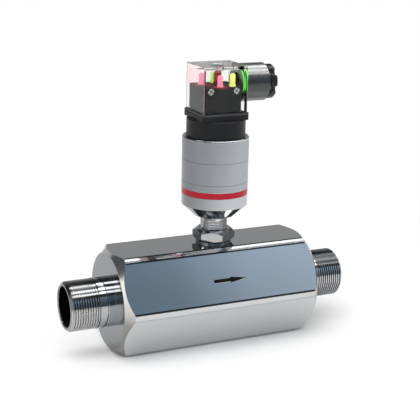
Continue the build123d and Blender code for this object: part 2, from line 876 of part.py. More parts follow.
with BuildPart() as terminal_block:
    with BuildSketch(Plane.XY.offset(block_z)):
        with Locations(((block_left_x + block_right_x) / 2, 0)):
            Rectangle(block_right_x - block_left_x, 2 * block_half_width)
    extrude(amount=block_height)
    fillet(terminal_block.edges().filter_by(Axis.Z), block_edge_radius)
    with BuildSketch(Plane.XY.offset(block_top_z - notch_depth)):
        with Locations((block_right_x - notch_length / 2, 0)):
            Rectangle(notch_length, notch_width)
    extrude(amount=notch_depth, mode=Mode.SUBTRACT)
    with BuildSketch(upright(block_z)):
        Circle(sleeve_inner_radius)
    extrude(amount=block_height, mode=Mode.SUBTRACT)
    with BuildSketch(upright(block_z)):
        with PolarLocations(contact_circle_radius, contact_count):
            Rectangle(pocket_depth + 2 * press_gap, pocket_width + 2 * press_gap)
    extrude(amount=socket_height, mode=Mode.SUBTRACT)
    for side in (-1, 1):
        with BuildSketch(side_plane(side)):
            with Locations(*terminal_places(side)):
                Circle(terminal_head_radius + press_gap)
        extrude(amount=terminal_head_recess + clamp_bush_length, mode=Mode.SUBTRACT)
save(terminal_block.part, "terminal_block")

with BuildPart() as contact_sockets:
    with BuildSketch(upright(block_z)):
        with PolarLocations(contact_circle_radius, contact_count):
            Rectangle(pocket_depth, pocket_width)
            Rectangle(
                contact_thickness + 2 * contact_slot_gap,
                contact_width + 2 * contact_slot_gap,
                mode=Mode.SUBTRACT,
            )
    extrude(amount=socket_height)
save(contact_sockets.part, "contact_sockets")

with BuildPart() as clamp_bushes:
    for side in (-1, 1):
        with BuildSketch(side_plane(side, terminal_head_recess)):
            with Locations(*terminal_places(side)):
                Circle(terminal_head_radius)
                Circle(terminal_screw_radius + press_gap, mode=Mode.SUBTRACT)
        extrude(amount=clamp_bush_length)
save(clamp_bushes.part, "clamp_bushes")

with BuildPart() as terminal_screws:
    head_top_depth = terminal_head_recess - terminal_head_height
    for side in (-1, 1):
        with BuildSketch(side_plane(side, head_top_depth)):
            with Locations(*terminal_places(side)):
                Circle(terminal_head_radius - running_gap)
        extrude(amount=terminal_head_height)
        with BuildSketch(side_plane(side, terminal_head_recess)):
            with Locations(*terminal_places(side)):
                Circle(terminal_screw_radius)
        extrude(amount=clamp_bush_length)
        with BuildSketch(side_plane(side, head_top_depth)):
            with Locations(*terminal_places(side)):
                Rectangle(3 * terminal_head_radius, terminal_slot_width, rotation=35)
                Rectangle(3 * terminal_head_radius, terminal_slot_width, rotation=125)
        extrude(amount=terminal_head_height * 0.5, mode=Mode.SUBTRACT)
save(terminal_screws.part, "terminal_screws")


# Indicator lamps: round-ended cylinders on a flange
def lamps(places, height):
    """Lamps of that height, standing on the block at the given places."""
    with BuildPart() as piece:
        with BuildSketch(Plane.XY.offset(block_top_z)):
            with Locations(*places):
                Circle(lamp_flange_radius)
        extrude(amount=lamp_flange_height)
        with BuildSketch(Plane.XY.offset(block_top_z)):
            with Locations(*places):
                Circle(lamp_radius)
        extrude(amount=height)
        fillet(
            piece.edges().filter_by(GeomType.CIRCLE).group_by(Axis.Z)[-1],
            lamp_radius * 0.9,
        )
    return piece.part


save(lamps(red_lamp_places, red_lamp_height), "red_lamps")
save(lamps([yellow_lamp_place], lamp_height), "yellow_lamp")
save(lamps([green_lamp_place], lamp_height), "green_lamp")


# Centre screw and its seal
with BuildPart() as screw_washer:
    with BuildSketch(upright(recess_floor_z)):
        Circle(head_recess_radius - running_gap)
        Circle(screw_radius + running_gap, mode=Mode.SUBTRACT)
    extrude(amount=screw_washer_thickness)
save(screw_washer.part, "screw_washer")

with BuildPart() as centre_screw:
    with BuildSketch(upright(head_seat_z - screw_length)):
        Circle(screw_radius)
    extrude(amount=screw_length)
    chamfer(centre_screw.faces().sort_by(Axis.Z)[0].edges(), screw_radius * 0.3)
    with BuildSketch(upright(head_seat_z)):
        Circle(screw_head_radius)
    extrude(amount=screw_head_height)
    fillet(centre_screw.faces().sort_by(Axis.Z)[-1].edges(), screw_head_height * 0.2)
    with BuildSketch(upright(head_seat_z + screw_head_height - screw_slot_depth)):
        Rectangle(3 * screw_head_radius, screw_slot_width, rotation=20)
    extrude(amount=screw_slot_depth, mode=Mode.SUBTRACT)
save(centre_screw.part, "centre_screw")


# Cable outlet: gland body through the hood's right wall
gland_start_x = hood_right_x
gland_end_x = hood_right_x + gland_length
seat_end_x = hood_right_x - hood_wall + gland_seat_length
gland_axis = Axis((0, 0, gland_z), (1, 0, 0))
with BuildPart() as gland_body:
    with BuildSketch(gland_plane(hood_right_x - hood_wall)):
        Circle(gland_spigot_radius)
    extrude(amount=hood_wall)
    with BuildSketch(gland_plane(gland_start_x)):
        Circle(gland_radius)
    extrude(amount=gland_length)
    chamfer(gland_body.faces().sort_by(Axis.X)[-1].edges(), gland_end_chamfer)
    with BuildSketch(gland_plane(hood_right_x - hood_wall)):
        Circle(gland_seat_radius)
    extrude(amount=gland_seat_length, mode=Mode.SUBTRACT)
    with BuildSketch(gland_plane(seat_end_x)):
        Circle(gland_bore_radius)
    extrude(amount=gland_end_x - seat_end_x, mode=Mode.SUBTRACT)
save(gland_body.part, "gland_body")

grommet_radius = gland_bore_radius - running_gap
with BuildPart() as gland_grommet:
    with BuildSketch(gland_plane(seat_end_x)):
        Circle(grommet_radius)
        Circle(grommet_bore_radius, mode=Mode.SUBTRACT)
    extrude(amount=grommet_length)
save(gland_grommet.part, "gland_grommet")

with BuildPart() as thrust_ring:
    with BuildSketch(gland_plane(seat_end_x + grommet_length)):
        Circle(grommet_radius)
        Circle(thrust_ring_hole_radius, mode=Mode.SUBTRACT)
    extrude(amount=thrust_ring_thickness)
save(thrust_ring.part, "thrust_ring")

shank_start_x = seat_end_x + grommet_length + thrust_ring_thickness
nut_head_x = gland_end_x + gland_nut_gap
nut_end_x = nut_head_x + gland_nut_head_length
with BuildPart() as gland_nut:
    with BuildSketch(gland_plane(nut_head_x)):
        Circle(gland_nut_radius)
        with PolarLocations(gland_nut_radius, gland_nut_lobes, start_angle=gland_nut_groove_angle):
            Circle(gland_nut_groove_radius, mode=Mode.SUBTRACT)
    extrude(amount=gland_nut_head_length)
    outer_face = gland_nut.faces().sort_by(Axis.X)[-1]
    chamfer(outer_face.outer_wire().edges(), gland_nut_edge)
    with BuildSketch(gland_plane(shank_start_x)):
        Circle(grommet_radius)
    extrude(amount=nut_head_x - shank_start_x)
    with BuildSketch(gland_plane(shank_start_x)):
        Circle(gland_nut_hole_radius)
    extrude(amount=nut_end_x - shank_start_x, mode=Mode.SUBTRACT)
    chamfer(
        gland_nut.faces().sort_by(Axis.X)[-1].inner_wires()[0].edges(),
        gland_nut_edge,
    )
save(gland_nut.part, "gland_nut")
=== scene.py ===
"""Turbine flow meter: finishes, the enamelled arrow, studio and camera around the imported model."""

from math import cos, pi, radians, sin

import bpy
from bpy.props import FloatProperty, FloatVectorProperty, PointerProperty
from mathutils import Matrix, Vector


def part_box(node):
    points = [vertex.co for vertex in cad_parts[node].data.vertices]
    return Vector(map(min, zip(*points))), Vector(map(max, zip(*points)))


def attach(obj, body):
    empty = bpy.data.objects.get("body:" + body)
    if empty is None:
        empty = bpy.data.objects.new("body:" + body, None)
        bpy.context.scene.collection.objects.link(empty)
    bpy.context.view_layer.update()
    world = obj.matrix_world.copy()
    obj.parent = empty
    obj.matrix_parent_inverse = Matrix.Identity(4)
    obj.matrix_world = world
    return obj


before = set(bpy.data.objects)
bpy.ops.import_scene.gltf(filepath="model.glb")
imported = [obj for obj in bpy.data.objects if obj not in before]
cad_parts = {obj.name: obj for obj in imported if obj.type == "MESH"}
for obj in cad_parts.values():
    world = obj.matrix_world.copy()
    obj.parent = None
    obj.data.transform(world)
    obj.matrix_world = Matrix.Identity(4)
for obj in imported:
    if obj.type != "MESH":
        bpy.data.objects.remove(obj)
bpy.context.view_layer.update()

bl_info = {
    "name": "Turbine Flow Meter",
    "version": (1, 0, 0),
    "blender": (4, 5, 0),
    "location": "View3D > Sidebar > Flow Meter",
    "description": "Dresses the packed turbine flow meter and sets up its studio",
    "category": "Object",
}

MM = 0.001
MICRON = 1e-6


def middle(node):
    """Centre of a node's box at rest."""
    low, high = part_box(node)
    return (Vector(low) + Vector(high)) / 2


def shade(tint, factor=1.0):
    """The tint made lighter or darker, and opaque."""
    return [channel * factor for channel in tint[:3]] + [1.0]


def grey(level):
    """Neutral colour."""
    return (level, level, level, 1.0)


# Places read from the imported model, in metres.
FLOW_HEIGHT = middle("meter_body").z    # and half the width across flats, because a flat is the foot
SENSOR_X = middle("housing_shell").x
GLAND_HEIGHT = middle("gland_body").z
LABEL_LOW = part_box("label_sleeve")[0][2]
LABEL_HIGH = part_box("label_sleeve")[1][2]
BLOCK_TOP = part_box("terminal_block")[1][2]
HOOD_LOW, HOOD_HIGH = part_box("plug_hood")
HOOD_LEFT, HOOD_RIGHT = HOOD_LOW[0], HOOD_HIGH[0]
HOOD_TOP = HOOD_HIGH[2]

# Places on the body: along the flow from its middle, radii from the flow axis.
NIPPLE_START = 62.6 * MM
LAND_START, LAND_END = 66.9 * MM, 71.6 * MM     # free part of the nipples' plain land
THREAD_START = LAND_END + 0.3 * MM
THREAD_PITCH = 1.5 * MM
BORE_EDGE = 12.2 * MM
NIPPLE_EDGE, CONE_EDGE = 15.5 * MM, 17 * MM
CORNER_EDGE = 33.1 * MM

# Look of the body, much of it painted light and shade: levels multiply the steel's colour, weights run
# from 0 to 1. A range is written as from where to where, and what holds at the first and at the last;
# heights are above the flow axis.
# painted light on the nipples and painted shade on their plain land
NIPPLE_PAINTED_LIGHT = 1.4
LAND_PAINTED_SHADE = -0.65
# painted shade: the turned ends are darker than the steel; the near cones get painted light, graded by height
END_DARK = (0.19, 0.20, 0.21, 1.0)
END_LIGHT = (0.235, 0.245, 0.255, 1.0)
CONE_TINT = (1.0, 0.98, 0.95)
CONE_LEAN = (0.93, 0.98, 1.0, 0.0)          # a cone's normal leans less along the flow than a flat end's
NEAR_END = (-1 * MM, 0.0, 1.0, 0.0)
FLANK_PAINTED_LEVELS = (-2 * MM, 4 * MM, 0.38, 0.18)
CONE_PAINTED_LEVELS = (-5 * MM, 15 * MM, 0.26, 0.95)
# painted dark reflections along the hexagon's turned corners
CORNER_REFLECTION_TINT = (0.012, 0.013, 0.014, 1.0)
CORNER_REFLECTION_WEIGHT = 0.97
CORNER_REFLECTION_BAND = (0.122, 0.225, 0.012)         # of the cosine that is zero on a corner, and its softness
CORNER_REFLECTION_HEIGHTS = (-1.2 * MM, -0.4 * MM, 0.2, 1.0)
# painted shade on the far thread's upper front, with rows of painted highlight that the ridges break
FAR_PAINTED_ROWS = ((30.0, 36.0), (50.0, 58.0))     # degrees from the top towards the front
FAR_PAINTED_SHADE_ARC = (8.0, 56.0)
FAR_PAINTED_SHADE = 0.88
RIDGE_LEVELS = (-0.3, 0.3, 0.35, 1.0)
UNDERSIDE = (-2 * MM, 2 * MM, 1.0, 0.0)
THREAD_BLUR, TURNED_BLUR = 0.22, 0.10       # added to the roughness
LEAN_START, LEAN_END = 0.35, 0.6            # of the normal along the flow, where a side becomes an end
# shift of the painted shade on the faces of nut and stem that look along the flow
LEAN_SHIFT = 0.35                           # on nut and stem, where what looks to the far end counts sooner

# Look of the hood, with painted lamp glow and painted light and shade on its edges.
# A band is written as from where to where, and the softness of its edges.
CLEAR_INDEX = 1.22
FRONT_TO_REAR = (-3 * MM, 3 * MM)
# painted glow of the red lamps on the hood's left wall
PINK_PAINTED_GLOW = (1.0, 0.83, 0.86, 1.0)
PINK_ALONG = (HOOD_LEFT + 1 * MM, HOOD_LEFT + 6 * MM, 1.0, 0.0)
PINK_UPWARD = (BLOCK_TOP - 6 * MM, BLOCK_TOP + 2 * MM, 0.0, 1.0)
# painted red glow in the tube round the sensor's axis
TUBE_PAINTED_GLOW = (0.62, 0.03, 0.06, 1.0)
TUBE_RADIUS = 2.8 * MM
TUBE_WEIGHT = 0.9
# painted green glow round the seat of the cable outlet
SEAT_PAINTED_GLOW = (0.30, 1.0, 0.12, 1.0)
SEAT_INNER = 8.9 * MM
SEAT_OUTER = 10.0 * MM
SEAT_ALONG = (HOOD_RIGHT - 2 * MM, HOOD_RIGHT - 1.4 * MM, 0.0, 1.0)
SEAT_ACROSS = (-6 * MM, -3 * MM, 1.0, 0.0)
SEAT_BAND = (GLAND_HEIGHT - 3 * MM, GLAND_HEIGHT + 9 * MM, 2 * MM)
TOP_PLATE = (0.18, 0.175, 0.17, 1.0)
TOP_UPWARD = (HOOD_TOP - 0.3 * MM, HOOD_TOP - 0.1 * MM, 0.0, 0.95)
EDGE_SOFT = 0.1 * MM
EDGELESS_ALONG = (HOOD_LEFT + 0.5 * MM, HOOD_RIGHT - 0.5 * MM, EDGE_SOFT)
EDGELESS_ACROSS = (HOOD_LOW[1] + 0.35 * MM, HOOD_HIGH[1] - 1.3 * MM, EDGE_SOFT)
EDGELESS_UPWARD = (-1.0, HOOD_TOP - 0.5 * MM, EDGE_SOFT)
# painted glow on the hood's front edges and painted shade on its rear edges
EDGE_PAINTED_GLOW_FRONT = (0.75, 0.45, 0.48, 1.0)
EDGE_PAINTED_SHADE_REAR = (0.10, 0.12, 0.10, 1.0)
EDGE_WEIGHT = 0.9
# painted glow given off by the front upright edges
EDGE_PAINTED_GLEAM = (0.85, 0.60, 0.62, 1.0)
EDGE_STRENGTH = 0.3
# painted green glow given off by the seat
SEAT_PAINTED_GLEAM = (0.08, 0.90, 0.05, 1.0)
SEAT_STRENGTH = 0.7

# Tints that have no setting of their own, and other values of the finishes.
STEM_TINT = (0.64, 0.65, 0.66, 1.0)
INNER_TINT = (0.54, 0.55, 0.56, 1.0)
SPRING_TINT = (0.20, 0.205, 0.215, 1.0)
CARBIDE_TINT = (0.26, 0.26, 0.27, 1.0)
NICKEL_TINT = (0.66, 0.64, 0.60, 1.0)
SCREW_TINT = (0.60, 0.59, 0.57, 1.0)
TIN_TINT = (0.62, 0.63, 0.64, 1.0)
BRASS_TINT = (0.70, 0.50, 0.20, 1.0)
COIL_TINT = (0.55, 0.20, 0.07, 1.0)
COIL_WIRE = 0.2 * MM
LEAD_TINT = (0.50, 0.06, 0.04, 1.0)
LEAD_WIRE = 0.5 * MM
GRAIN = 0.35 * MM
BLOCK_TINT = (0.014, 0.0145, 0.0155, 1.0)
# painted glow of the lamps on the outlet's end inside the plug
GLAND_PAINTED_GLOW = (0.085, 0.095, 0.03, 1.0)
GLAND_PAINTED_GLOW_ALONG = (HOOD_RIGHT - 1.4 * MM, HOOD_RIGHT - 1.0 * MM, 1.0, 0.0)
# painted highlight: the specular level follows which way the surface faces, strong above, weak below, none
# between
GLAND_PAINTED_SHINE_ABOVE = (0.30, 0.85, 0.26, 1.2)
GLAND_PAINTED_SHINE_BELOW = (-0.75, -0.25, 0.22, 0.0)
NATURAL_TINT = (0.66, 0.63, 0.55, 1.0)
RUBBER_TINT = (0.03, 0.03, 0.032, 1.0)
BOARD_TINT = (0.02, 0.13, 0.05, 1.0)
COPPER_TINT = (0.20, 0.30, 0.08, 1.0)
ENAMEL_TINT = (0.004, 0.004, 0.0045, 1.0)
RULE_INK = (0.09, 0.095, 0.10, 1.0)
RULE_WEIGHT = 0.8
RULE_HALF_WIDTH = 0.13 * MM
SEAM_ANGLE = radians(5)
SEAM_SOFT = 0.002
LAMP_FLANGE = 1.9 * MM
# painted glow of the red lamps on the block's top face
BLOCK_PAINTED_GLOW = (0.75, 0.035, 0.06, 1.0)
BLOCK_PAINTED_GLOW_STRENGTH = 0.55
BLOCK_PAINTED_GLOW_REACH = (1.5 * MM, 7.5 * MM, 1.0, 0.0)

# Filling of the flow arrow, in the flat that is tilted this far from level.
FLAT_TILT = radians(60)
ENAMEL_GAP = 0.03 * MM
ENAMEL_BOTTOM, ENAMEL_TOP = 0.95, 0.15      # shares of the engraving's depth

# Studio, in metres: a room of glowing cards that only reflections see.
WHITE = grey(1.0)
ROOM_LEFT, ROOM_RIGHT = -2.5, 3.5
ROOM_FRONT, ROOM_BACK = -1.4, 1.8
ROOM_TOP = 1.3
CEILING_FRONT = -1.5
CEILING_TINT = (0.06, 0.065, 0.07, 1.0)
LONG_LAMP = {"left": -0.6, "right": 1.9, "height": 1.2, "strength": 4.5}
EDGE_LAMP = {"left": 0.30, "right": 0.90, "height": 1.18, "strength": 2.2}
FLOOR_HALF = 4.0
FLOOR_LIT, FLOOR_SEEN = 0.75, 0.96
FLOOR_FADE = (0.12, 0.40, 0.0, 1.0)
# painted light that lifts the shadow behind the near nipple
PAINTED_LIFT_ALONG = (-64 * MM, -50 * MM, 1.0, 0.0)
PAINTED_LIFT_ACROSS = (-6 * MM, 13 * MM, 0.0, 0.75)
KEY_PLACE = (-0.35, -0.45, 1.1)
KEY_SIZE = 0.9
FILL_PLACE = (0.9, -0.9, 0.5)
FILL_SIZE = 1.0
LIGHT_AIM = (0.0, 0.0, 0.05)
SENSOR_WIDTH = 36.0                         # millimetres, as for the lens
FRONT_ALONG = (
    (0.0, (0.19, 0.275, 0.355, 1.0)), (0.32, (0.215, 0.305, 0.39, 1.0)), (0.40, (0.25, 0.335, 0.43, 1.0)),
    (0.485, (0.375, 0.48, 0.595, 1.0)), (0.57, (0.50, 0.62, 0.755, 1.0)), (0.70, (0.56, 0.69, 0.83, 1.0)),
    (1.0, (0.56, 0.69, 0.83, 1.0)),
)
FRONT_UPWARD = ((0.0, (0.38, 0.40, 0.41, 1.0)), (0.84, grey(0.90)), (1.0, grey(1.06)))
REAR_UPWARD = ((0.0, grey(0.40)), (0.6, grey(0.36)), (1.0, grey(0.07)))


class Nodes:
    """Short calls to build the nodes of one tree. Coordinates are the model's own, in metres."""

    def __init__(self, tree):
        """Works on that tree."""
        self.tree = tree
        self.coordinates = None

    def feed(self, socket, value):
        """Links a socket to the output of a node, or gives it a constant."""
        if isinstance(value, bpy.types.NodeSocket):
            self.tree.links.new(value, socket)
        else:
            socket.default_value = value

    def node(self, kind, inputs=(), **settings):
        """A node of that kind, with its settings and its inputs by name or number."""
        made = self.tree.nodes.new("ShaderNode" + kind)
        for key, value in settings.items():
            setattr(made, key, value)
        for key, value in dict(inputs).items():
            self.feed(made.inputs[key], value)
        return made

    def math(self, operation, first, second=0.0, third=0.0, clamp=False):
        """Result of one sum on numbers or sockets."""
        made = self.node("Math", {0: first, 1: second, 2: third}, operation=operation, use_clamp=clamp)
        return made.outputs[0]

    def product(self, first, *others):
        """All the values multiplied together."""
        for other in others:
            first = self.math("MULTIPLY", first, other)
        return first

    def coordinate(self, kind):
        """One of the coordinates, all from the same node."""
        if self.coordinates is None:
            self.coordinates = self.node("TexCoord")
        return self.coordinates.outputs[kind]

    def place(self):
        """Object coordinates."""
        return self.coordinate("Object")

    def normal(self):
        """The three numbers of the surface's normal."""
        return self.parts(self.coordinate("Normal"))

    def parts(self, vector):
        """The three numbers of a vector."""
        return self.node("SeparateXYZ", {0: vector}).outputs

    def joined(self, x, y, z):
        """A vector from three numbers."""
        return self.node("CombineXYZ", {0: x, 1: y, 2: z}).outputs[0]

    def scaled(self, vector, scale):
        """A vector or colour times three factors."""
        return self.node("VectorMath", {0: vector, 1: scale}, operation="MULTIPLY").outputs[0]

    def noise(self, vector, scale, detail=3.0, roughness=0.5):
        """Noise from 0 to 1 over a vector."""
        inputs = {"Vector": vector, "Scale": scale, "Detail": detail, "Roughness": roughness}
        return self.node("TexNoise", inputs).outputs["Fac"]

    def cells(self, vector, scale):
        """Distance to the nearest of scattered points."""
        return self.node("TexVoronoi", {"Vector": vector, "Scale": scale}).outputs["Distance"]

    def ranged(self, value, low, high, to_low, to_high, ease="LINEAR"):
        """The value carried from one range to another, held at its ends."""
        inputs = {0: value, 1: low, 2: high, 3: to_low, 4: to_high}
        return self.node("MapRange", inputs, interpolation_type=ease).outputs[0]

    def band(self, value, low, high, soft):
        """One where the value lies between low and high, with soft edges."""
        rise = self.ranged(value, low - soft, low + soft, 0.0, 1.0, "SMOOTHSTEP")
        fall = self.ranged(value, high - soft, high + soft, 0.0, 1.0, "SMOOTHSTEP")
        return self.math("SUBTRACT", rise, fall, clamp=True)

    def mixed(self, factor, first, second):
        """Colour between two colours."""
        made = self.node("Mix", data_type="RGBA")
        for key, value in (("Factor", factor), ("A", first), ("B", second)):
            self.feed(next(s for s in made.inputs if s.name == key and s.enabled), value)
        return next(s for s in made.outputs if s.enabled)

    def toned(self, colour, factor):
        """The colour times a factor."""
        return self.node("VectorMath", {0: colour, "Scale": factor}, operation="SCALE").outputs[0]

    def ramp(self, value, low, high, stops):
        """Colour that changes through the stops while the value goes from low to high."""
        made = self.node("ValToRGB", {0: self.ranged(value, low, high, 0.0, 1.0)})
        made.color_ramp.interpolation = "EASE"
        first, last = made.color_ramp.elements
        first.position, first.color = stops[0]
        last.position, last.color = stops[-1]
        for position, colour in stops[1:-1]:
            made.color_ramp.elements.new(position).color = colour
        return made.outputs[0]

    def broken_edges(self, radius):
        """Normal that rounds the edges a little, as deburring does."""
        return self.node("Bevel", {"Radius": radius}, samples=4).outputs[0]

    def bump(self, height, depth, under=None):
        """Normal from a height, of that depth in metres."""
        inputs = {"Height": height, "Distance": depth}
        if under is not None:
            inputs["Normal"] = under
        return self.node("Bump", inputs).outputs[0]


class Finish(Nodes):
    """One material with its principled shader."""

    def __init__(self, name, **sockets):
        """Makes the material and sets the sockets that are given, with _ for each space."""
        self.material = bpy.data.materials.new(name)
        self.material.use_nodes = True
        super().__init__(self.material.node_tree)
        self.shader = self.tree.nodes["Principled BSDF"]
        for words, value in sockets.items():
            self.set(words.replace("_", " "), value)

    def set(self, words, value):
        """Feeds a socket of the shader."""
        self.feed(self.shader.inputs[words], value)


def radius_about(finish, axis, centre):
    """Distance from the line along x at that height, or from the upright line at that x."""
    x, y, z = finish.parts(finish.place())
    across = finish.math("SUBTRACT", z if axis == "x" else x, centre)
    squares = finish.math("ADD", finish.product(across, across), finish.product(y, y))
    return finish.math("SQRT", squares)


def turn_round_sensor(finish):
    """Angle round the sensor's axis, zero at the front."""
    place = finish.parts(finish.place())
    return finish.math("ARCTAN2", finish.math("SUBTRACT", place[0], SENSOR_X), finish.product(place[1], -1.0))


def painted_sheen_round(finish, middle_level, swing):
    """Painted sheen: soft light and dark streaks of reflection round the sensor's axis, painted into the
    colour.
    """
    start = radians(60)
    wave = finish.math("SINE", finish.math("MULTIPLY_ADD", turn_round_sensor(finish), 2.0, start))
    return finish.math("MULTIPLY_ADD", wave, swing, middle_level)


def turning_lines(finish, along, spacing, depth):
    """Bump of the fine rings that a turning tool leaves, spaced along a coordinate."""
    line = finish.math("SINE", finish.product(along, 2 * pi / spacing))
    wander = finish.noise(finish.joined(along, 0.0, 0.0), scale=0.35 / spacing, detail=2.0)
    return finish.bump(finish.product(line, wander), depth, under=finish.broken_edges(0.15 * MM))


def smudges(finish, low, high, scale=60.0):
    """Roughness that wanders between low and high in soft patches."""
    return spread(finish, finish.noise(finish.place(), scale, detail=4.0, roughness=0.6), low, high)


def spread(finish, noise, low, high):
    """The middle of a noise, where nearly all of it lies, carried to the range from low to high."""
    return finish.ranged(noise, 0.3, 0.7, low, high)


def end_face_light_and_shade(finish, facing, x, above, radius):
    """Colour of the turned ends in painted shade, with lighter cones of painted light at the near end."""
    rings = finish.noise(finish.joined(radius, 0.0, 0.0), scale=2600.0)
    flat = finish.mixed(rings, END_DARK, END_LIGHT)
    cone = finish.product(finish.ranged(facing, *CONE_LEAN), finish.ranged(x, *NEAR_END))
    flank = finish.ranged(above, *FLANK_PAINTED_LEVELS)
    more = finish.math("SUBTRACT", finish.ranged(above, *CONE_PAINTED_LEVELS), flank)
    wide = finish.ranged(radius, NIPPLE_EDGE, CONE_EDGE, 0.0, 1.0)
    level = finish.math("MULTIPLY_ADD", wide, more, flank)
    return finish.mixed(cone, flat, finish.toned(CONE_TINT, level))


def painted_nipple_light(finish, along):
    """Level of the nipples in painted light, lower with painted shade on their plain land."""
    land = finish.band(along, LAND_START, LAND_END, 0.1 * MM)
    nipple = finish.ranged(along, NIPPLE_START, NIPPLE_START + 0.3 * MM, 1.0, NIPPLE_PAINTED_LIGHT)
    return finish.math("MULTIPLY_ADD", land, LAND_PAINTED_SHADE, nipple)


def far_thread_painted_light(finish, x, turn):
    """Level of the far thread: painted shade on its upper front but for painted highlight rows its ridges
    break.
    """
    soft = radians(1.2)
    ridge = finish.math("SINE", finish.product(x, 2 * pi / THREAD_PITCH))
    upper, lower = (finish.band(turn, radians(-end), radians(-start), soft) for start, end in FAR_PAINTED_ROWS)
    rows = finish.product(finish.math("ADD", upper, lower), finish.ranged(ridge, *RIDGE_LEVELS))
    shaded = finish.product(
        finish.band(turn, radians(-FAR_PAINTED_SHADE_ARC[1]), radians(-FAR_PAINTED_SHADE_ARC[0]), soft),
        finish.math("SUBTRACT", 1.0, rows, clamp=True),
        finish.ranged(x, LAND_END, THREAD_START, 0.0, FAR_PAINTED_SHADE),
    )
    return finish.math("SUBTRACT", 1.0, shaded)


def corner_painted_reflections(finish, turn, above, radius):
    """Weight of the painted dark reflections along the hexagon's turned corners, fainter below its middle."""
    from_corner = finish.math("ABSOLUTE", finish.math("COSINE", finish.product(turn, 3.0)))
    return finish.product(
        finish.band(from_corner, *CORNER_REFLECTION_BAND),
        finish.ranged(radius, CORNER_EDGE, CORNER_EDGE + 0.2 * MM, 0.0, CORNER_REFLECTION_WEIGHT),
        finish.ranged(above, *CORNER_REFLECTION_HEIGHTS),
    )


def body_steel(tint):
    """Polished flats with turned ends, of the hexagonal body."""
    finish = Finish("body_steel", Metallic=1.0)
    x, y, z = finish.parts(finish.place())
    along = finish.math("ABSOLUTE", x)
    above = finish.math("SUBTRACT", z, FLOW_HEIGHT)
    turn = finish.math("ARCTAN2", y, above)
    radius = radius_about(finish, "x", FLOW_HEIGHT)
    facing = finish.math("ABSOLUTE", finish.normal()[0])
    turned = finish.ranged(facing, LEAN_START, LEAN_END, 0.0, 1.0)
    streaks = finish.noise(finish.scaled(finish.place(), (6.0, 900.0, 900.0)), scale=1.0, detail=4.0)
    polished = finish.mixed(streaks, shade(tint, 0.975), shade(tint, 1.02))
    # painted light on the nipples, painted shade on their land
    polished = finish.toned(polished, painted_nipple_light(finish, along))
    # painted shade and rows of painted highlight on the far thread
    polished = finish.toned(polished, far_thread_painted_light(finish, x, turn))
    # painted dark reflections along the corners
    polished = finish.mixed(corner_painted_reflections(finish, turn, above, radius), polished, CORNER_REFLECTION_TINT)
    # turned ends in painted shade, near cones in painted light
    finish.set("Base Color", finish.mixed(turned, polished, end_face_light_and_shade(finish, facing, x, above, radius)))
    under_thread = finish.product(
        finish.ranged(above, *UNDERSIDE),
        finish.ranged(radius, BORE_EDGE, BORE_EDGE + 0.2 * MM, 0.0, 1.0),
        finish.ranged(along, LAND_END, THREAD_START, 0.0, 1.0),
    )
    rough = finish.math("MULTIPLY_ADD", under_thread, THREAD_BLUR, smudges(finish, 0.05, 0.09))
    finish.set("Roughness", finish.math("MULTIPLY_ADD", turned, TURNED_BLUR, rough))
    finish.set("Normal", finish.bump(streaks, 0.4 * MICRON, under=finish.broken_edges(0.3 * MM)))
    return finish.material


def turned_steel(name, tint, rough, axis="z", spacing=0.16 * MM, depth=1.2 * MICRON, swing=0.0, painted_side_level=1.0):
    """Steel with fine turning rings; the last argument is the level of painted shade on faces that look along
    the flow.
    """
    finish = Finish(name, Metallic=1.0)
    along = finish.parts(finish.place())[0 if axis == "x" else 2]
    rings = finish.noise(finish.joined(along, 0.0, 0.0), scale=0.6 / spacing)
    colour = finish.mixed(rings, shade(tint, 0.92), shade(tint, 1.06))
    # swing is the strength of a painted sheen round the sensor's axis
    if swing:
        colour = finish.toned(colour, painted_sheen_round(finish, 0.95, swing))
    # painted shade on the faces that look along the flow
    if painted_side_level < 1.0:
        lean = finish.math("ABSOLUTE", finish.math("ADD", finish.normal()[0], LEAN_SHIFT))
        level = finish.ranged(lean, LEAN_START, LEAN_END, 1.0, painted_side_level)
        colour = finish.toned(colour, level)
        finish.set("Metallic", level)
        finish.set("Specular IOR Level", 0.0)
    finish.set("Base Color", colour)
    finish.set("Roughness", smudges(finish, rough * 0.8, rough * 1.25))
    finish.set("Normal", turning_lines(finish, along, spacing, depth))
    return finish.material


def screw_steel(tint):
    """Plated steel of the terminal screws, with painted shade that darkens their slots and leaves the rim
    bright.
    """
    finish = Finish("screw_steel", Metallic=1.0)
    off_centre = finish.math("ABSOLUTE", finish.parts(finish.place())[1])
    outer_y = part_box("terminal_screws")[1][1]
    # painted shade: all but the outermost part of each screw across the flow is darkened
    out = finish.ranged(off_centre, outer_y - 0.45 * MM, outer_y - 0.1 * MM, 0.06, 1.0)
    wear = finish.noise(finish.place(), scale=1500.0)
    finish.set("Base Color", finish.toned(finish.mixed(wear, shade(tint, 0.7), shade(tint)), out))
    finish.set("Roughness", spread(finish, wear, 0.14, 0.24))
    finish.set("Normal", finish.bump(wear, 2 * MICRON, under=finish.broken_edges(0.15 * MM)))
    return finish.material


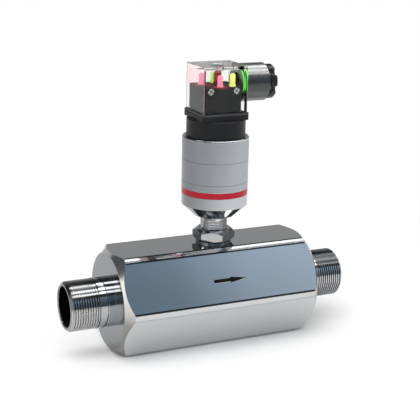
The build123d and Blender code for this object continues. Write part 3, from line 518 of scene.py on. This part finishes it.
def satin_foil(tint, rule_places):
    """Satin label foil, bare but for two thin printed rules, with soft grain, a seam at the back and painted
    sheen.
    """
    finish = Finish("satin_foil", Metallic=0.75)
    height = finish.parts(finish.place())[2]
    grain = finish.noise(finish.scaled(finish.place(), (900.0, 900.0, 9000.0)), scale=1.0, detail=2.0)
    colour = finish.mixed(grain, shade(tint, 0.96), shade(tint, 1.04))
    seam = finish.ranged(
        finish.math("ABSOLUTE", turn_round_sensor(finish)),
        pi - SEAM_ANGLE - SEAM_SOFT, pi - SEAM_ANGLE + SEAM_SOFT, 0.0, 1.0, "SMOOTHSTEP",
    )
    for place in rule_places:
        printed = finish.band(height, place - RULE_HALF_WIDTH, place + RULE_HALF_WIDTH, 0.05 * MM)
        ink = finish.product(finish.math("SUBTRACT", printed, seam, clamp=True), RULE_WEIGHT)
        colour = finish.mixed(ink, colour, RULE_INK)
    # painted sheen round the sensor's axis
    finish.set("Base Color", finish.toned(colour, painted_sheen_round(finish, 0.93, 0.27)))
    finish.set("Roughness", smudges(finish, 0.36, 0.46, scale=40.0))
    finish.set("Normal", finish.bump(grain, 0.8 * MICRON))
    return finish.material


def moulded_plastic(name, tint, rough, grain=GRAIN, depth=6 * MICRON, coat=0.0, sheen=0.5):
    """Moulded plastic with a fine spark eroded grain and faint flow shading."""
    finish = Finish(name, Coat_Weight=coat, Coat_Roughness=0.08, IOR=1.5, Specular_IOR_Level=sheen)
    pits = finish.cells(finish.place(), 1.0 / grain)
    flow = finish.noise(finish.place(), scale=45.0)
    lighter = [min(1.0, channel * 1.12 + 0.002) for channel in tint[:3]] + [1.0]
    finish.set("Base Color", finish.mixed(flow, shade(tint, 0.88), lighter))
    finish.set("Roughness", smudges(finish, rough * 0.88, rough * 1.12, scale=90.0))
    finish.set("Normal", finish.bump(pits, depth, under=finish.broken_edges(0.2 * MM)))
    return finish.material


def hood_edges(finish, x, y, z):
    """Weights of the hood's upright edges and of all its edges."""
    near_x, near_y, near_z = (
        finish.math("SUBTRACT", 1.0, finish.band(value, *edgeless))
        for value, edgeless in ((x, EDGELESS_ALONG), (y, EDGELESS_ACROSS), (z, EDGELESS_UPWARD))
    )
    upright = finish.product(near_x, near_y)
    level = finish.product(near_z, finish.math("MAXIMUM", near_x, near_y))
    return upright, finish.math("ADD", upright, level, clamp=True)


def clear_plastic(tint):
    """Clear moulded hood, a soft swirl in its polish, with painted lamp glow and painted edge light and
    shade.
    """
    finish = Finish("clear_plastic", Roughness=0.02, IOR=CLEAR_INDEX, Transmission_Weight=1.0)
    x, y, z = finish.parts(finish.place())
    swirl = finish.noise(finish.place(), scale=120.0, detail=2.0)
    colour = finish.mixed(swirl, shade(tint, 0.985), shade(tint))
    # painted pink glow of the lamps on the left wall
    pink = finish.product(finish.ranged(x, *PINK_ALONG), finish.ranged(z, *PINK_UPWARD))
    colour = finish.mixed(pink, colour, PINK_PAINTED_GLOW)
    # painted red glow in the tube
    tube = finish.band(radius_about(finish, "z", SENSOR_X), -1.0, TUBE_RADIUS, 0.1 * MM)
    colour = finish.mixed(finish.product(tube, TUBE_WEIGHT), colour, TUBE_PAINTED_GLOW)
    # painted green glow round the outlet's seat
    green = finish.product(
        finish.band(radius_about(finish, "x", GLAND_HEIGHT), SEAT_INNER, SEAT_OUTER, 0.3 * MM),
        finish.ranged(x, *SEAT_ALONG),
    )
    colour = finish.mixed(green, colour, SEAT_PAINTED_GLOW)
    colour = finish.mixed(finish.ranged(z, *TOP_UPWARD), colour, TOP_PLATE)
    upright, corners = hood_edges(finish, x, y, z)
    # painted glow on the front edges, painted shade on the rear edges
    edge = finish.mixed(finish.ranged(y, *FRONT_TO_REAR, 0.0, 1.0), EDGE_PAINTED_GLOW_FRONT, EDGE_PAINTED_SHADE_REAR)
    finish.set("Base Color", finish.mixed(finish.product(corners, EDGE_WEIGHT), colour, edge))
    # painted glow given off by the front of the seat
    seat_front = finish.product(green, finish.ranged(y, *SEAT_ACROSS), finish.band(z, *SEAT_BAND))
    # painted glow given off by the front upright edges
    edge_front = finish.product(upright, finish.ranged(y, *FRONT_TO_REAR, EDGE_STRENGTH, 0.0))
    finish.set("Emission Color", finish.mixed(green, EDGE_PAINTED_GLEAM, SEAT_PAINTED_GLEAM))
    finish.set("Emission Strength", finish.math("MULTIPLY_ADD", seat_front, SEAT_STRENGTH, edge_front))
    finish.set("Normal", finish.bump(swirl, 3 * MICRON))
    finish.set("Roughness", finish.ranged(swirl, 0.35, 0.65, 0.015, 0.035))
    return finish.material


def lamp_resin(name, tint, glow, strength):
    """Coloured lamp resin that is brightest at its dome and darker at the flange."""
    finish = Finish(name, IOR=1.5, Coat_Weight=0.5)
    low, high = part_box(name)
    height = finish.ranged(finish.parts(finish.place())[2], low[2], high[2], 0.0, 1.0)
    cloud = finish.noise(finish.place(), scale=900.0, detail=2.0)
    level = finish.math("MULTIPLY_ADD", cloud, 0.15, height)
    finish.set("Base Color", finish.mixed(level, shade(tint, 0.5), shade(tint)))
    finish.set("Emission Color", finish.mixed(level, shade(glow, 0.8), shade(glow)))
    finish.set("Emission Strength", strength)
    finish.set("Roughness", spread(finish, cloud, 0.14, 0.22))
    return finish.material


def block_plastic(tint):
    """Black terminal block, with a painted glow of the lamps on its top face."""
    finish = Finish("block_plastic", Specular_IOR_Level=0.03)
    pits = finish.cells(finish.place(), 1.0 / GRAIN)
    flow = finish.noise(finish.place(), scale=60.0)
    finish.set("Base Color", finish.mixed(flow, shade(tint), shade(tint, 1.5)))
    finish.set("Roughness", smudges(finish, 0.52, 0.65, scale=90.0))
    finish.set("Normal", finish.bump(pits, 5 * MICRON, under=finish.broken_edges(0.2 * MM)))
    # painted glow round the red lamps, on the top face only
    low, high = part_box("red_lamps")
    glow = 0.0
    for lamp_x, lamp_y in (
        (low[0] + LAMP_FLANGE, high[1] - LAMP_FLANGE),
        (high[0] - LAMP_FLANGE, low[1] + LAMP_FLANGE),
    ):
        lamp = {0: finish.place(), 1: (lamp_x, lamp_y, BLOCK_TOP)}
        away = finish.node("VectorMath", lamp, operation="DISTANCE").outputs["Value"]
        near = finish.ranged(away, *BLOCK_PAINTED_GLOW_REACH)
        glow = finish.math("MULTIPLY_ADD", near, near, glow)
    top = finish.ranged(finish.parts(finish.place())[2], BLOCK_TOP - 1.2 * MM, BLOCK_TOP, 0.0, 1.0)
    finish.set("Emission Color", BLOCK_PAINTED_GLOW)
    finish.set("Emission Strength", finish.product(glow, BLOCK_PAINTED_GLOW_STRENGTH, top))
    return finish.material


def smoked_plastic(tint):
    """Smoked glossy body of the cable outlet, with painted lamp glow on its end in the plug and painted
    shine.
    """
    finish = Finish("smoked_plastic", IOR=2.2)
    along = finish.parts(finish.place())[0]
    flow = finish.noise(finish.scaled(finish.place(), (900.0, 60.0, 60.0)), scale=1.0)
    # painted lamp glow on the end inside the plug
    inside = finish.ranged(along, *GLAND_PAINTED_GLOW_ALONG)
    smoke = finish.mixed(flow, shade(tint), shade(tint, 1.6))
    finish.set("Base Color", finish.mixed(inside, smoke, GLAND_PAINTED_GLOW))
    # painted highlight set by which way the surface faces
    facing_up = finish.normal()[2]
    upper = finish.ranged(facing_up, *GLAND_PAINTED_SHINE_ABOVE)
    lower = finish.ranged(facing_up, *GLAND_PAINTED_SHINE_BELOW)
    finish.set("Specular IOR Level", finish.math("ADD", upper, lower))
    finish.set("Roughness", smudges(finish, 0.25, 0.31, scale=90.0))
    finish.set("Normal", finish.bump(flow, 0.2 * MICRON))
    return finish.material


def wound_copper(name, tint, wire):
    """Enamelled wire laid turn on turn."""
    finish = Finish(name, Metallic=0.8)
    wave = finish.math("SINE", finish.product(finish.parts(finish.place())[2], 2 * pi / wire))
    patches = finish.noise(finish.place(), scale=600.0, detail=2.0)
    finish.set("Base Color", finish.mixed(patches, shade(tint, 0.8), shade(tint)))
    finish.set("Roughness", spread(finish, patches, 0.22, 0.34))
    finish.set("Normal", finish.bump(wave, wire * 0.3))
    return finish.material


def board_laminate(tint, copper):
    """Green laminate with faint copper runs under its mask."""
    finish = Finish("board_laminate", Coat_Weight=0.4, Coat_Roughness=0.2)
    runs = finish.cells(finish.scaled(finish.place(), (1.0, 1.0, 0.0)), 420.0)
    lines = finish.band(runs, 0.30, 0.42, 0.03)
    finish.set("Base Color", finish.mixed(finish.product(lines, 0.45), shade(tint), shade(copper)))
    finish.set("Roughness", smudges(finish, 0.32, 0.44, scale=200.0))
    finish.set("Normal", finish.bump(lines, 20 * MICRON))
    return finish.material


def seal_rubber(tint):
    """Moulded rubber with a dull bloom."""
    finish = Finish("seal_rubber", IOR=1.5)
    bloom = finish.noise(finish.place(), scale=260.0, detail=4.0, roughness=0.6)
    finish.set("Base Color", finish.mixed(bloom, shade(tint, 0.8), shade(tint, 1.5)))
    finish.set("Roughness", spread(finish, bloom, 0.55, 0.75))
    finish.set("Normal", finish.bump(bloom, 8 * MICRON))
    return finish.material


def filling_ink(tint):
    """Dark stoving enamel wiped into the engraving."""
    finish = Finish("filling_ink", IOR=1.5, Specular_IOR_Level=0.1)
    wipe = finish.noise(finish.scaled(finish.place(), (200.0, 1500.0, 1500.0)), scale=1.0)
    finish.set("Base Color", finish.mixed(wipe, shade(tint, 0.7), shade(tint, 1.3)))
    finish.set("Roughness", spread(finish, wipe, 0.4, 0.6))
    return finish.material


def dress(material, *nodes):
    """Gives carried-over nodes their material."""
    for node in nodes:
        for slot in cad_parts[node].material_slots:
            slot.material = material


def mesh_piece(name, points, faces, body, material):
    """A mesh object that rides on a body."""
    mesh = bpy.data.meshes.new(name)
    mesh.from_pydata(points, [], faces)
    mesh.validate()
    mesh.materials.append(material)
    made = bpy.data.objects.new(name, mesh)
    bpy.context.scene.collection.objects.link(made)
    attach(made, body)


def colour_property(name, description, default):
    """A colour that the user may change."""
    return FloatVectorProperty(
        name=name, description=description, subtype="COLOR", size=4, min=0.0, max=1.0, default=default
    )


def length_property(name, description, default):
    """A length that the user may change."""
    return FloatProperty(
        name=name, description=description, unit="LENGTH", subtype="DISTANCE", default=default
    )


def angle_property(name, description, degrees):
    """An angle that the user may change."""
    return FloatProperty(name=name, description=description, subtype="ANGLE", default=radians(degrees))


def power_property(name, description, default):
    """The power of a light that the user may change."""
    return FloatProperty(name=name, description=description, unit="POWER", default=default)


class FinishSettings(bpy.types.PropertyGroup):
    """Colours of the finishes."""

    body: colour_property("Body steel", "Polished steel of the hexagonal body", (0.56, 0.57, 0.58, 1.0))
    turned: colour_property("Turned steel", "Steel of the lock nut and its washer", (0.42, 0.43, 0.44, 1.0))
    housing: colour_property("Housing steel", "Steel of the transmitter housing", (0.41, 0.42, 0.435, 1.0))
    foil: colour_property("Label foil", "Satin foil round the housing", (0.355, 0.37, 0.385, 1.0))
    band: colour_property("Red band", "Red ring under the label", (0.40, 0.010, 0.024, 1.0))
    black: colour_property("Black plastic", "Collar, flange and board pieces", (0.012, 0.0125, 0.0135, 1.0))
    dark: colour_property("Smoked plastic", "Body of the cable outlet", (0.012, 0.014, 0.015, 1.0))
    nut: colour_property("Dark plastic", "Nut of the cable outlet", (0.010, 0.0105, 0.012, 1.0))
    clear: colour_property("Clear plastic", "Plug hood", (0.96, 0.985, 0.975, 1.0))
    red_lamp: colour_property("Red lamp", "Resin of the red lamps", (0.30, 0.03, 0.06, 1.0))
    yellow_lamp: colour_property("Yellow lamp", "Resin of the yellow lamp", (0.30, 0.30, 0.03, 1.0))
    green_lamp: colour_property("Green lamp", "Resin of the green lamp", (0.06, 0.30, 0.03, 1.0))


class LabelSettings(bpy.types.PropertyGroup):
    """Printed rules of the label."""

    upper_rule: length_property("Upper rule", "Height of the upper rule", LABEL_HIGH - 12.3 * MM)
    lower_rule: length_property("Lower rule", "Height of the lower rule", LABEL_LOW + 3.9 * MM)


class ArrowSettings(bpy.types.PropertyGroup):
    """Flow arrow in the upper front flat."""

    length: length_property("Length", "Length of the arrow", 21.5 * MM)
    head_length: length_property("Head length", "Length of its head", 10.8 * MM)
    head_width: length_property("Head width", "Width of its head", 3.6 * MM)
    tail_width: length_property("Tail width", "Width of its tail", 2.1 * MM)
    centre_x: length_property("Place", "Place of its middle along the flow", 4.15 * MM)
    rise: length_property("Rise", "Height of its middle above the flow axis", 13.6 * MM)
    depth: length_property("Depth", "Depth of the engraving", 0.15 * MM)


class StageSettings(bpy.types.PropertyGroup):
    """Studio light and camera."""

    camera_place: FloatVectorProperty(
        name="Camera place", description="Where the camera stands", unit="LENGTH", size=3,
        default=(-0.2637, -0.5645, 0.2552),
    )
    yaw: angle_property("Yaw", "Turn about the upright axis", -25.24)
    pitch: angle_property("Pitch", "Tilt below the horizon", 15.77)
    roll: angle_property("Roll", "Turn about the line of sight", 1.32)
    lens: FloatProperty(
        name="Lens", description="Focal length on a 36 mm sensor", unit="CAMERA", default=93.06
    )
    ambient: FloatProperty(name="Ambient", description="Light from all round", min=0.0, default=0.81)
    key_power: power_property("Key power", "Power of the overhead soft light", 6.6)
    fill_power: power_property("Fill power", "Power of the front soft light", 2.6)


class FLOWMETER_OT_metal_finishes(bpy.types.Operator):
    """Finish the metal pieces"""

    bl_idname = "flowmeter.metal_finishes"
    bl_label = "Metal Finishes"

    def execute(self, context):
        """Gives each metal piece its steel, plating, wire or foil."""
        colours = context.scene.flowmeter_finish
        rules = context.scene.flowmeter_label
        dress(body_steel(colours.body), "meter_body")
        # painted shade on the faces of nut, washer and stem that look along the flow
        dress(turned_steel("turned_steel", colours.turned, 0.06, depth=0.4 * MICRON, painted_side_level=0.25),
              "stem_washer", "lock_nut")
        dress(turned_steel("stem_steel", STEM_TINT, 0.05, depth=0.2 * MICRON, painted_side_level=0.5), "pickup_stem")
        # housing steel with a painted sheen round its axis
        housing = turned_steel(
            "housing_steel", colours.housing, 0.10, spacing=0.10 * MM, depth=0.5 * MICRON, swing=0.38
        )
        dress(housing, "housing_base", "housing_shell")
        dress(turned_steel("inner_steel", INNER_TINT, 0.22, axis="x"),
              "inlet_straightener", "outlet_straightener", "rotor")
        dress(turned_steel("spring_steel", SPRING_TINT, 0.28, axis="x"),
              "inlet_retaining_ring", "outlet_retaining_ring", "pole_pin")
        dress(turned_steel("carbide", CARBIDE_TINT, 0.20, axis="x"),
              "inlet_bush", "outlet_bush", "thrust_plates", "rotor_shaft")
        dress(turned_steel("nickel_plate", NICKEL_TINT, 0.12), "pickup_magnet", "centre_screw")
        dress(screw_steel(SCREW_TINT), "terminal_screws")
        dress(turned_steel("tin_plate", TIN_TINT, 0.24), "contact_blades", "contact_sockets")
        dress(turned_steel("contact_brass", BRASS_TINT, 0.20, axis="x"), "clamp_bushes")
        dress(wound_copper("pickup_coil", COIL_TINT, COIL_WIRE), "pickup_coil")
        dress(wound_copper("coil_leads", LEAD_TINT, LEAD_WIRE), "coil_leads")
        dress(satin_foil(colours.foil, (rules.upper_rule, rules.lower_rule)), "label_sleeve")
        return {"FINISHED"}


class FLOWMETER_OT_plastic_finishes(bpy.types.Operator):
    """Finish the plastic and rubber pieces and the lamps"""

    bl_idname = "flowmeter.plastic_finishes"
    bl_label = "Plastic Finishes"

    def execute(self, context):
        """Gives each plastic or rubber piece and each lamp its material."""
        colours = context.scene.flowmeter_finish
        dress(moulded_plastic("black_plastic", colours.black, 0.40, sheen=0.14),
              "connector_base", "board_components")
        dress(block_plastic(BLOCK_TINT), "terminal_block")
        dress(smoked_plastic(colours.dark), "gland_body")
        dress(moulded_plastic("dark_plastic", colours.nut, 0.30, grain=0.5 * MM, depth=3 * MICRON, sheen=0.3),
              "gland_nut")
        red = moulded_plastic(
            "red_plastic", colours.band, 0.25, grain=0.5 * MM, depth=1 * MICRON, coat=0.05, sheen=0.15
        )
        dress(red, "red_band")
        dress(moulded_plastic("natural_plastic", NATURAL_TINT, 0.40),
              "coil_bobbin", "board_spacer", "thrust_ring")
        dress(seal_rubber(RUBBER_TINT), "housing_seal", "profile_gasket", "screw_washer", "gland_grommet")
        dress(board_laminate(BOARD_TINT, COPPER_TINT), "circuit_board")
        dress(clear_plastic(colours.clear), "plug_hood")
        for node, tint, glow, strength in (
            ("red_lamps", colours.red_lamp, (0.90, 0.27, 0.40, 1.0), 0.95),
            ("yellow_lamp", colours.yellow_lamp, (0.92, 0.97, 0.16, 1.0), 0.9),
            ("green_lamp", colours.green_lamp, (0.40, 0.97, 0.10, 1.0), 0.9),
        ):
            dress(lamp_resin(node, tint, glow, strength), node)
        return {"FINISHED"}


class FLOWMETER_OT_flow_arrow(bpy.types.Operator):
    """Fill the engraved flow arrow with dark enamel"""

    bl_idname = "flowmeter.flow_arrow"
    bl_label = "Flow Arrow"

    def execute(self, context):
        """Builds the enamel as a thin prism sunk in the engraving."""
        arrow = context.scene.flowmeter_arrow
        normal = Vector((0, -sin(FLAT_TILT), cos(FLAT_TILT)))
        upward = Vector((0, cos(FLAT_TILT), sin(FLAT_TILT)))
        face = Vector((arrow.centre_x, 0, FLOW_HEIGHT)) + normal * FLOW_HEIGHT
        centre = face + upward * ((arrow.rise - normal.z * FLOW_HEIGHT) / sin(FLAT_TILT))
        half_length = arrow.length / 2 - ENAMEL_GAP
        neck = arrow.length / 2 - arrow.head_length + ENAMEL_GAP
        head = arrow.head_width / 2 - ENAMEL_GAP
        tail = arrow.tail_width / 2 - ENAMEL_GAP
        outline = [(-half_length, -tail), (neck, -tail), (neck, -head), (half_length, 0),
                   (neck, head), (neck, tail), (-half_length, tail)]
        points = []
        for sink in (arrow.depth * ENAMEL_BOTTOM, arrow.depth * ENAMEL_TOP):
            for along, up in outline:
                points.append(centre + Vector((along, 0, 0)) + upward * up - normal * sink)
        count = len(outline)
        faces = [list(range(count))[::-1], [index + count for index in range(count)]]
        for index in range(count):
            after = (index + 1) % count
            faces.append([index, after, after + count, index + count])
        mesh_piece("flow_arrow_enamel", points, faces, "meter", filling_ink(ENAMEL_TINT))
        return {"FINISHED"}


def bare_material(name):
    """A material whose tree holds only its output, and the calls to fill it."""
    material = bpy.data.materials.new(name)
    material.use_nodes = True
    tree = material.node_tree
    tree.nodes.remove(tree.nodes["Principled BSDF"])
    return material, Nodes(tree)


def sheet(name, corners, material):
    """A flat piece of the stage with four corners."""
    mesh = bpy.data.meshes.new(name)
    mesh.from_pydata(corners, [], [(0, 1, 2, 3)])
    mesh.materials.append(material)
    made = bpy.data.objects.new(name, mesh)
    bpy.context.scene.collection.objects.link(made)
    return made


def card(name, corners, colour, strength=1.0):
    """A glowing card that shows only in reflections; its colour is plain or a function that builds it."""
    material, nodes = bare_material(name)
    glow = nodes.node("Emission", {0: colour(nodes) if callable(colour) else colour, 1: strength})
    nodes.feed(nodes.tree.nodes["Material Output"].inputs[0], glow.outputs[0])
    made = sheet(name, corners, material)
    for rays in ("camera", "diffuse", "transmission", "shadow", "volume_scatter"):
        setattr(made, "visible_" + rays, False)


def ceiling_lamp(name, near, far, left, right, height, strength):
    """One of the lamps overhead; near and far are its edges across the flow, as shares of its height."""
    corners = [(left, near * height, height), (right, near * height, height),
               (right, far * height, height), (left, far * height, height)]
    card(name, corners, WHITE, strength)


def wall(name, depth, colour):
    """A card that stands across the room at that depth."""
    card(name, [(ROOM_LEFT, depth, 0.0), (ROOM_RIGHT, depth, 0.0),
                (ROOM_RIGHT, depth, ROOM_TOP), (ROOM_LEFT, depth, ROOM_TOP)], colour)


def front_colour(nodes):
    """Blue that grows lighter to the right and upward."""
    place = nodes.parts(nodes.place())
    along = nodes.ramp(place[0], 0.2, 1.4, FRONT_ALONG)
    return nodes.scaled(along, nodes.ramp(place[2], 0.2, 1.25, FRONT_UPWARD))


def rear_colour(nodes):
    """Grey that grows darker upward."""
    return nodes.ramp(nodes.parts(nodes.place())[2], 0.3, 1.2, REAR_UPWARD)


def seen_directly(nodes):
    """One for camera, mirror and transmission rays."""
    path = nodes.node("LightPath").outputs
    mirrored = nodes.math("MAXIMUM", path["Is Camera Ray"], path["Is Glossy Ray"])
    return nodes.math("MAXIMUM", mirrored, path["Is Transmission Ray"])


def white_world(ambient):
    """World that lights at a plain level and is white where it is seen."""
    world = bpy.data.worlds.new("studio")
    bpy.context.scene.world = world
    world.use_nodes = True
    nodes = Nodes(world.node_tree)
    light = nodes.tree.nodes["Background"]
    nodes.feed(light.inputs["Color"], WHITE)
    nodes.feed(light.inputs["Strength"], ambient)
    white = nodes.node("Background", {"Color": WHITE, "Strength": 1.0})
    mix = nodes.node("MixShader", {0: seen_directly(nodes), 1: light.outputs[0], 2: white.outputs[0]})
    nodes.feed(nodes.tree.nodes["World Output"].inputs[0], mix.outputs[0])


def pale_floor():
    """Floor that keeps the object's shadow, fades to white far away, and has painted light behind the near
    nipple.
    """
    material, nodes = bare_material("floor")
    seen = seen_directly(nodes)
    matt = nodes.node("BsdfDiffuse", {"Color": nodes.mixed(seen, grey(FLOOR_LIT), grey(FLOOR_SEEN))})
    white = nodes.node("Emission", {"Color": WHITE, "Strength": 1.0})
    away = nodes.node("VectorMath", {0: nodes.place()}, operation="LENGTH").outputs["Value"]
    place = nodes.parts(nodes.place())
    # painted light over the shadow behind the near nipple
    behind = nodes.product(
        nodes.ranged(place[0], *PAINTED_LIFT_ALONG, "SMOOTHSTEP"),
        nodes.ranged(place[1], *PAINTED_LIFT_ACROSS, "SMOOTHSTEP"),
    )
    fade = nodes.math("MAXIMUM", nodes.ranged(away, *FLOOR_FADE, "SMOOTHSTEP"), behind)
    mix = nodes.node("MixShader", {0: nodes.product(fade, seen), 1: matt.outputs[0], 2: white.outputs[0]})
    nodes.feed(nodes.tree.nodes["Material Output"].inputs[0], mix.outputs[0])
    corners = [(x * FLOOR_HALF, y * FLOOR_HALF, 0) for x, y in ((-1, -1), (1, -1), (1, 1), (-1, 1))]
    sheet("floor", corners, material)


def soft_light(name, place, size, power):
    """Square area light aimed at the object, kept out of mirror reflections."""
    light = bpy.data.lights.new(name, "AREA")
    light.shape = "SQUARE"
    light.size = size
    light.energy = power
    made = bpy.data.objects.new(name, light)
    made.location = place
    made.rotation_euler = (Vector(LIGHT_AIM) - Vector(place)).to_track_quat("-Z", "Y").to_euler()
    made.visible_glossy = False
    bpy.context.scene.collection.objects.link(made)


def solved_camera(stage):
    """The camera, standing where it stood for the photograph."""
    camera = bpy.data.cameras.new("camera")
    camera.lens = stage.lens
    camera.sensor_width = SENSOR_WIDTH
    made = bpy.data.objects.new("camera", camera)
    turn = (
        Matrix.Rotation(stage.yaw, 4, "Z")
        @ Matrix.Rotation(pi / 2 - stage.pitch, 4, "X")
        @ Matrix.Rotation(stage.roll, 4, "Z")
    )
    made.matrix_world = Matrix.Translation(stage.camera_place) @ turn
    bpy.context.scene.collection.objects.link(made)
    bpy.context.scene.camera = made


class FLOWMETER_OT_stage(bpy.types.Operator):
    """Set up the floor, the light and the camera"""

    bl_idname = "flowmeter.stage"
    bl_label = "Stage"

    def execute(self, context):
        """Builds the studio round the object."""
        stage = context.scene.flowmeter_stage
        white_world(stage.ambient)
        pale_floor()
        soft_light("key_light", KEY_PLACE, KEY_SIZE, stage.key_power)
        soft_light("fill_light", FILL_PLACE, FILL_SIZE, stage.fill_power)
        for name, near, far, lamp in (
            ("rear_bar", 0.25, 0.47, LONG_LAMP),
            ("middle_bar", -0.26, -0.05, LONG_LAMP),
            ("front_bar", -0.62, -0.42, LONG_LAMP),
            ("edge_bar", 0.135, 0.225, EDGE_LAMP),
            ("thin_edge_bar", 0.06, 0.10, EDGE_LAMP),
        ):
            ceiling_lamp(name, near, far, **lamp)
        card("ceiling", [(ROOM_LEFT, CEILING_FRONT, ROOM_TOP), (ROOM_RIGHT, CEILING_FRONT, ROOM_TOP),
                         (ROOM_RIGHT, ROOM_BACK, ROOM_TOP), (ROOM_LEFT, ROOM_BACK, ROOM_TOP)], CEILING_TINT)
        wall("front_wall", ROOM_FRONT, front_colour)
        wall("rear_wall", ROOM_BACK, rear_colour)
        solved_camera(stage)
        context.scene.view_settings.view_transform = "Standard"
        return {"FINISHED"}


class FLOWMETER_PT_panel(bpy.types.Panel):
    """Lists the steps that dress the flow meter"""

    bl_idname = "FLOWMETER_PT_panel"
    bl_label = "Flow Meter"
    bl_space_type = "VIEW_3D"
    bl_region_type = "UI"
    bl_category = "Flow Meter"

    def draw(self, context):
        """Shows a button for each step and the settings that it reads."""
        for step in STEPS:
            self.layout.operator(step.bl_idname)
        for name in SETTINGS:
            group = getattr(context.scene, name)
            box = self.layout.box()
            for key in group.__annotations__:
                box.prop(group, key)


STEPS = (
    FLOWMETER_OT_metal_finishes,
    FLOWMETER_OT_plastic_finishes,
    FLOWMETER_OT_flow_arrow,
    FLOWMETER_OT_stage,
)
SETTINGS = {
    "flowmeter_finish": FinishSettings,
    "flowmeter_label": LabelSettings,
    "flowmeter_arrow": ArrowSettings,
    "flowmeter_stage": StageSettings,
}
CLASSES = (*SETTINGS.values(), *STEPS, FLOWMETER_PT_panel)


def register():
    """Registers the classes and hangs the settings on the scene."""
    for kind in CLASSES:
        bpy.utils.register_class(kind)
    for name, kind in SETTINGS.items():
        setattr(bpy.types.Scene, name, PointerProperty(type=kind))


def unregister():
    """Takes the settings and classes away again."""
    for name in SETTINGS:
        delattr(bpy.types.Scene, name)
    for kind in reversed(CLASSES):
        bpy.utils.unregister_class(kind)


def main():
    """Dresses the object step by step."""
    register()
    bpy.ops.flowmeter.metal_finishes()
    bpy.ops.flowmeter.plastic_finishes()
    bpy.ops.flowmeter.flow_arrow()
    bpy.ops.flowmeter.stage()


if __name__ == "__main__":
    main()
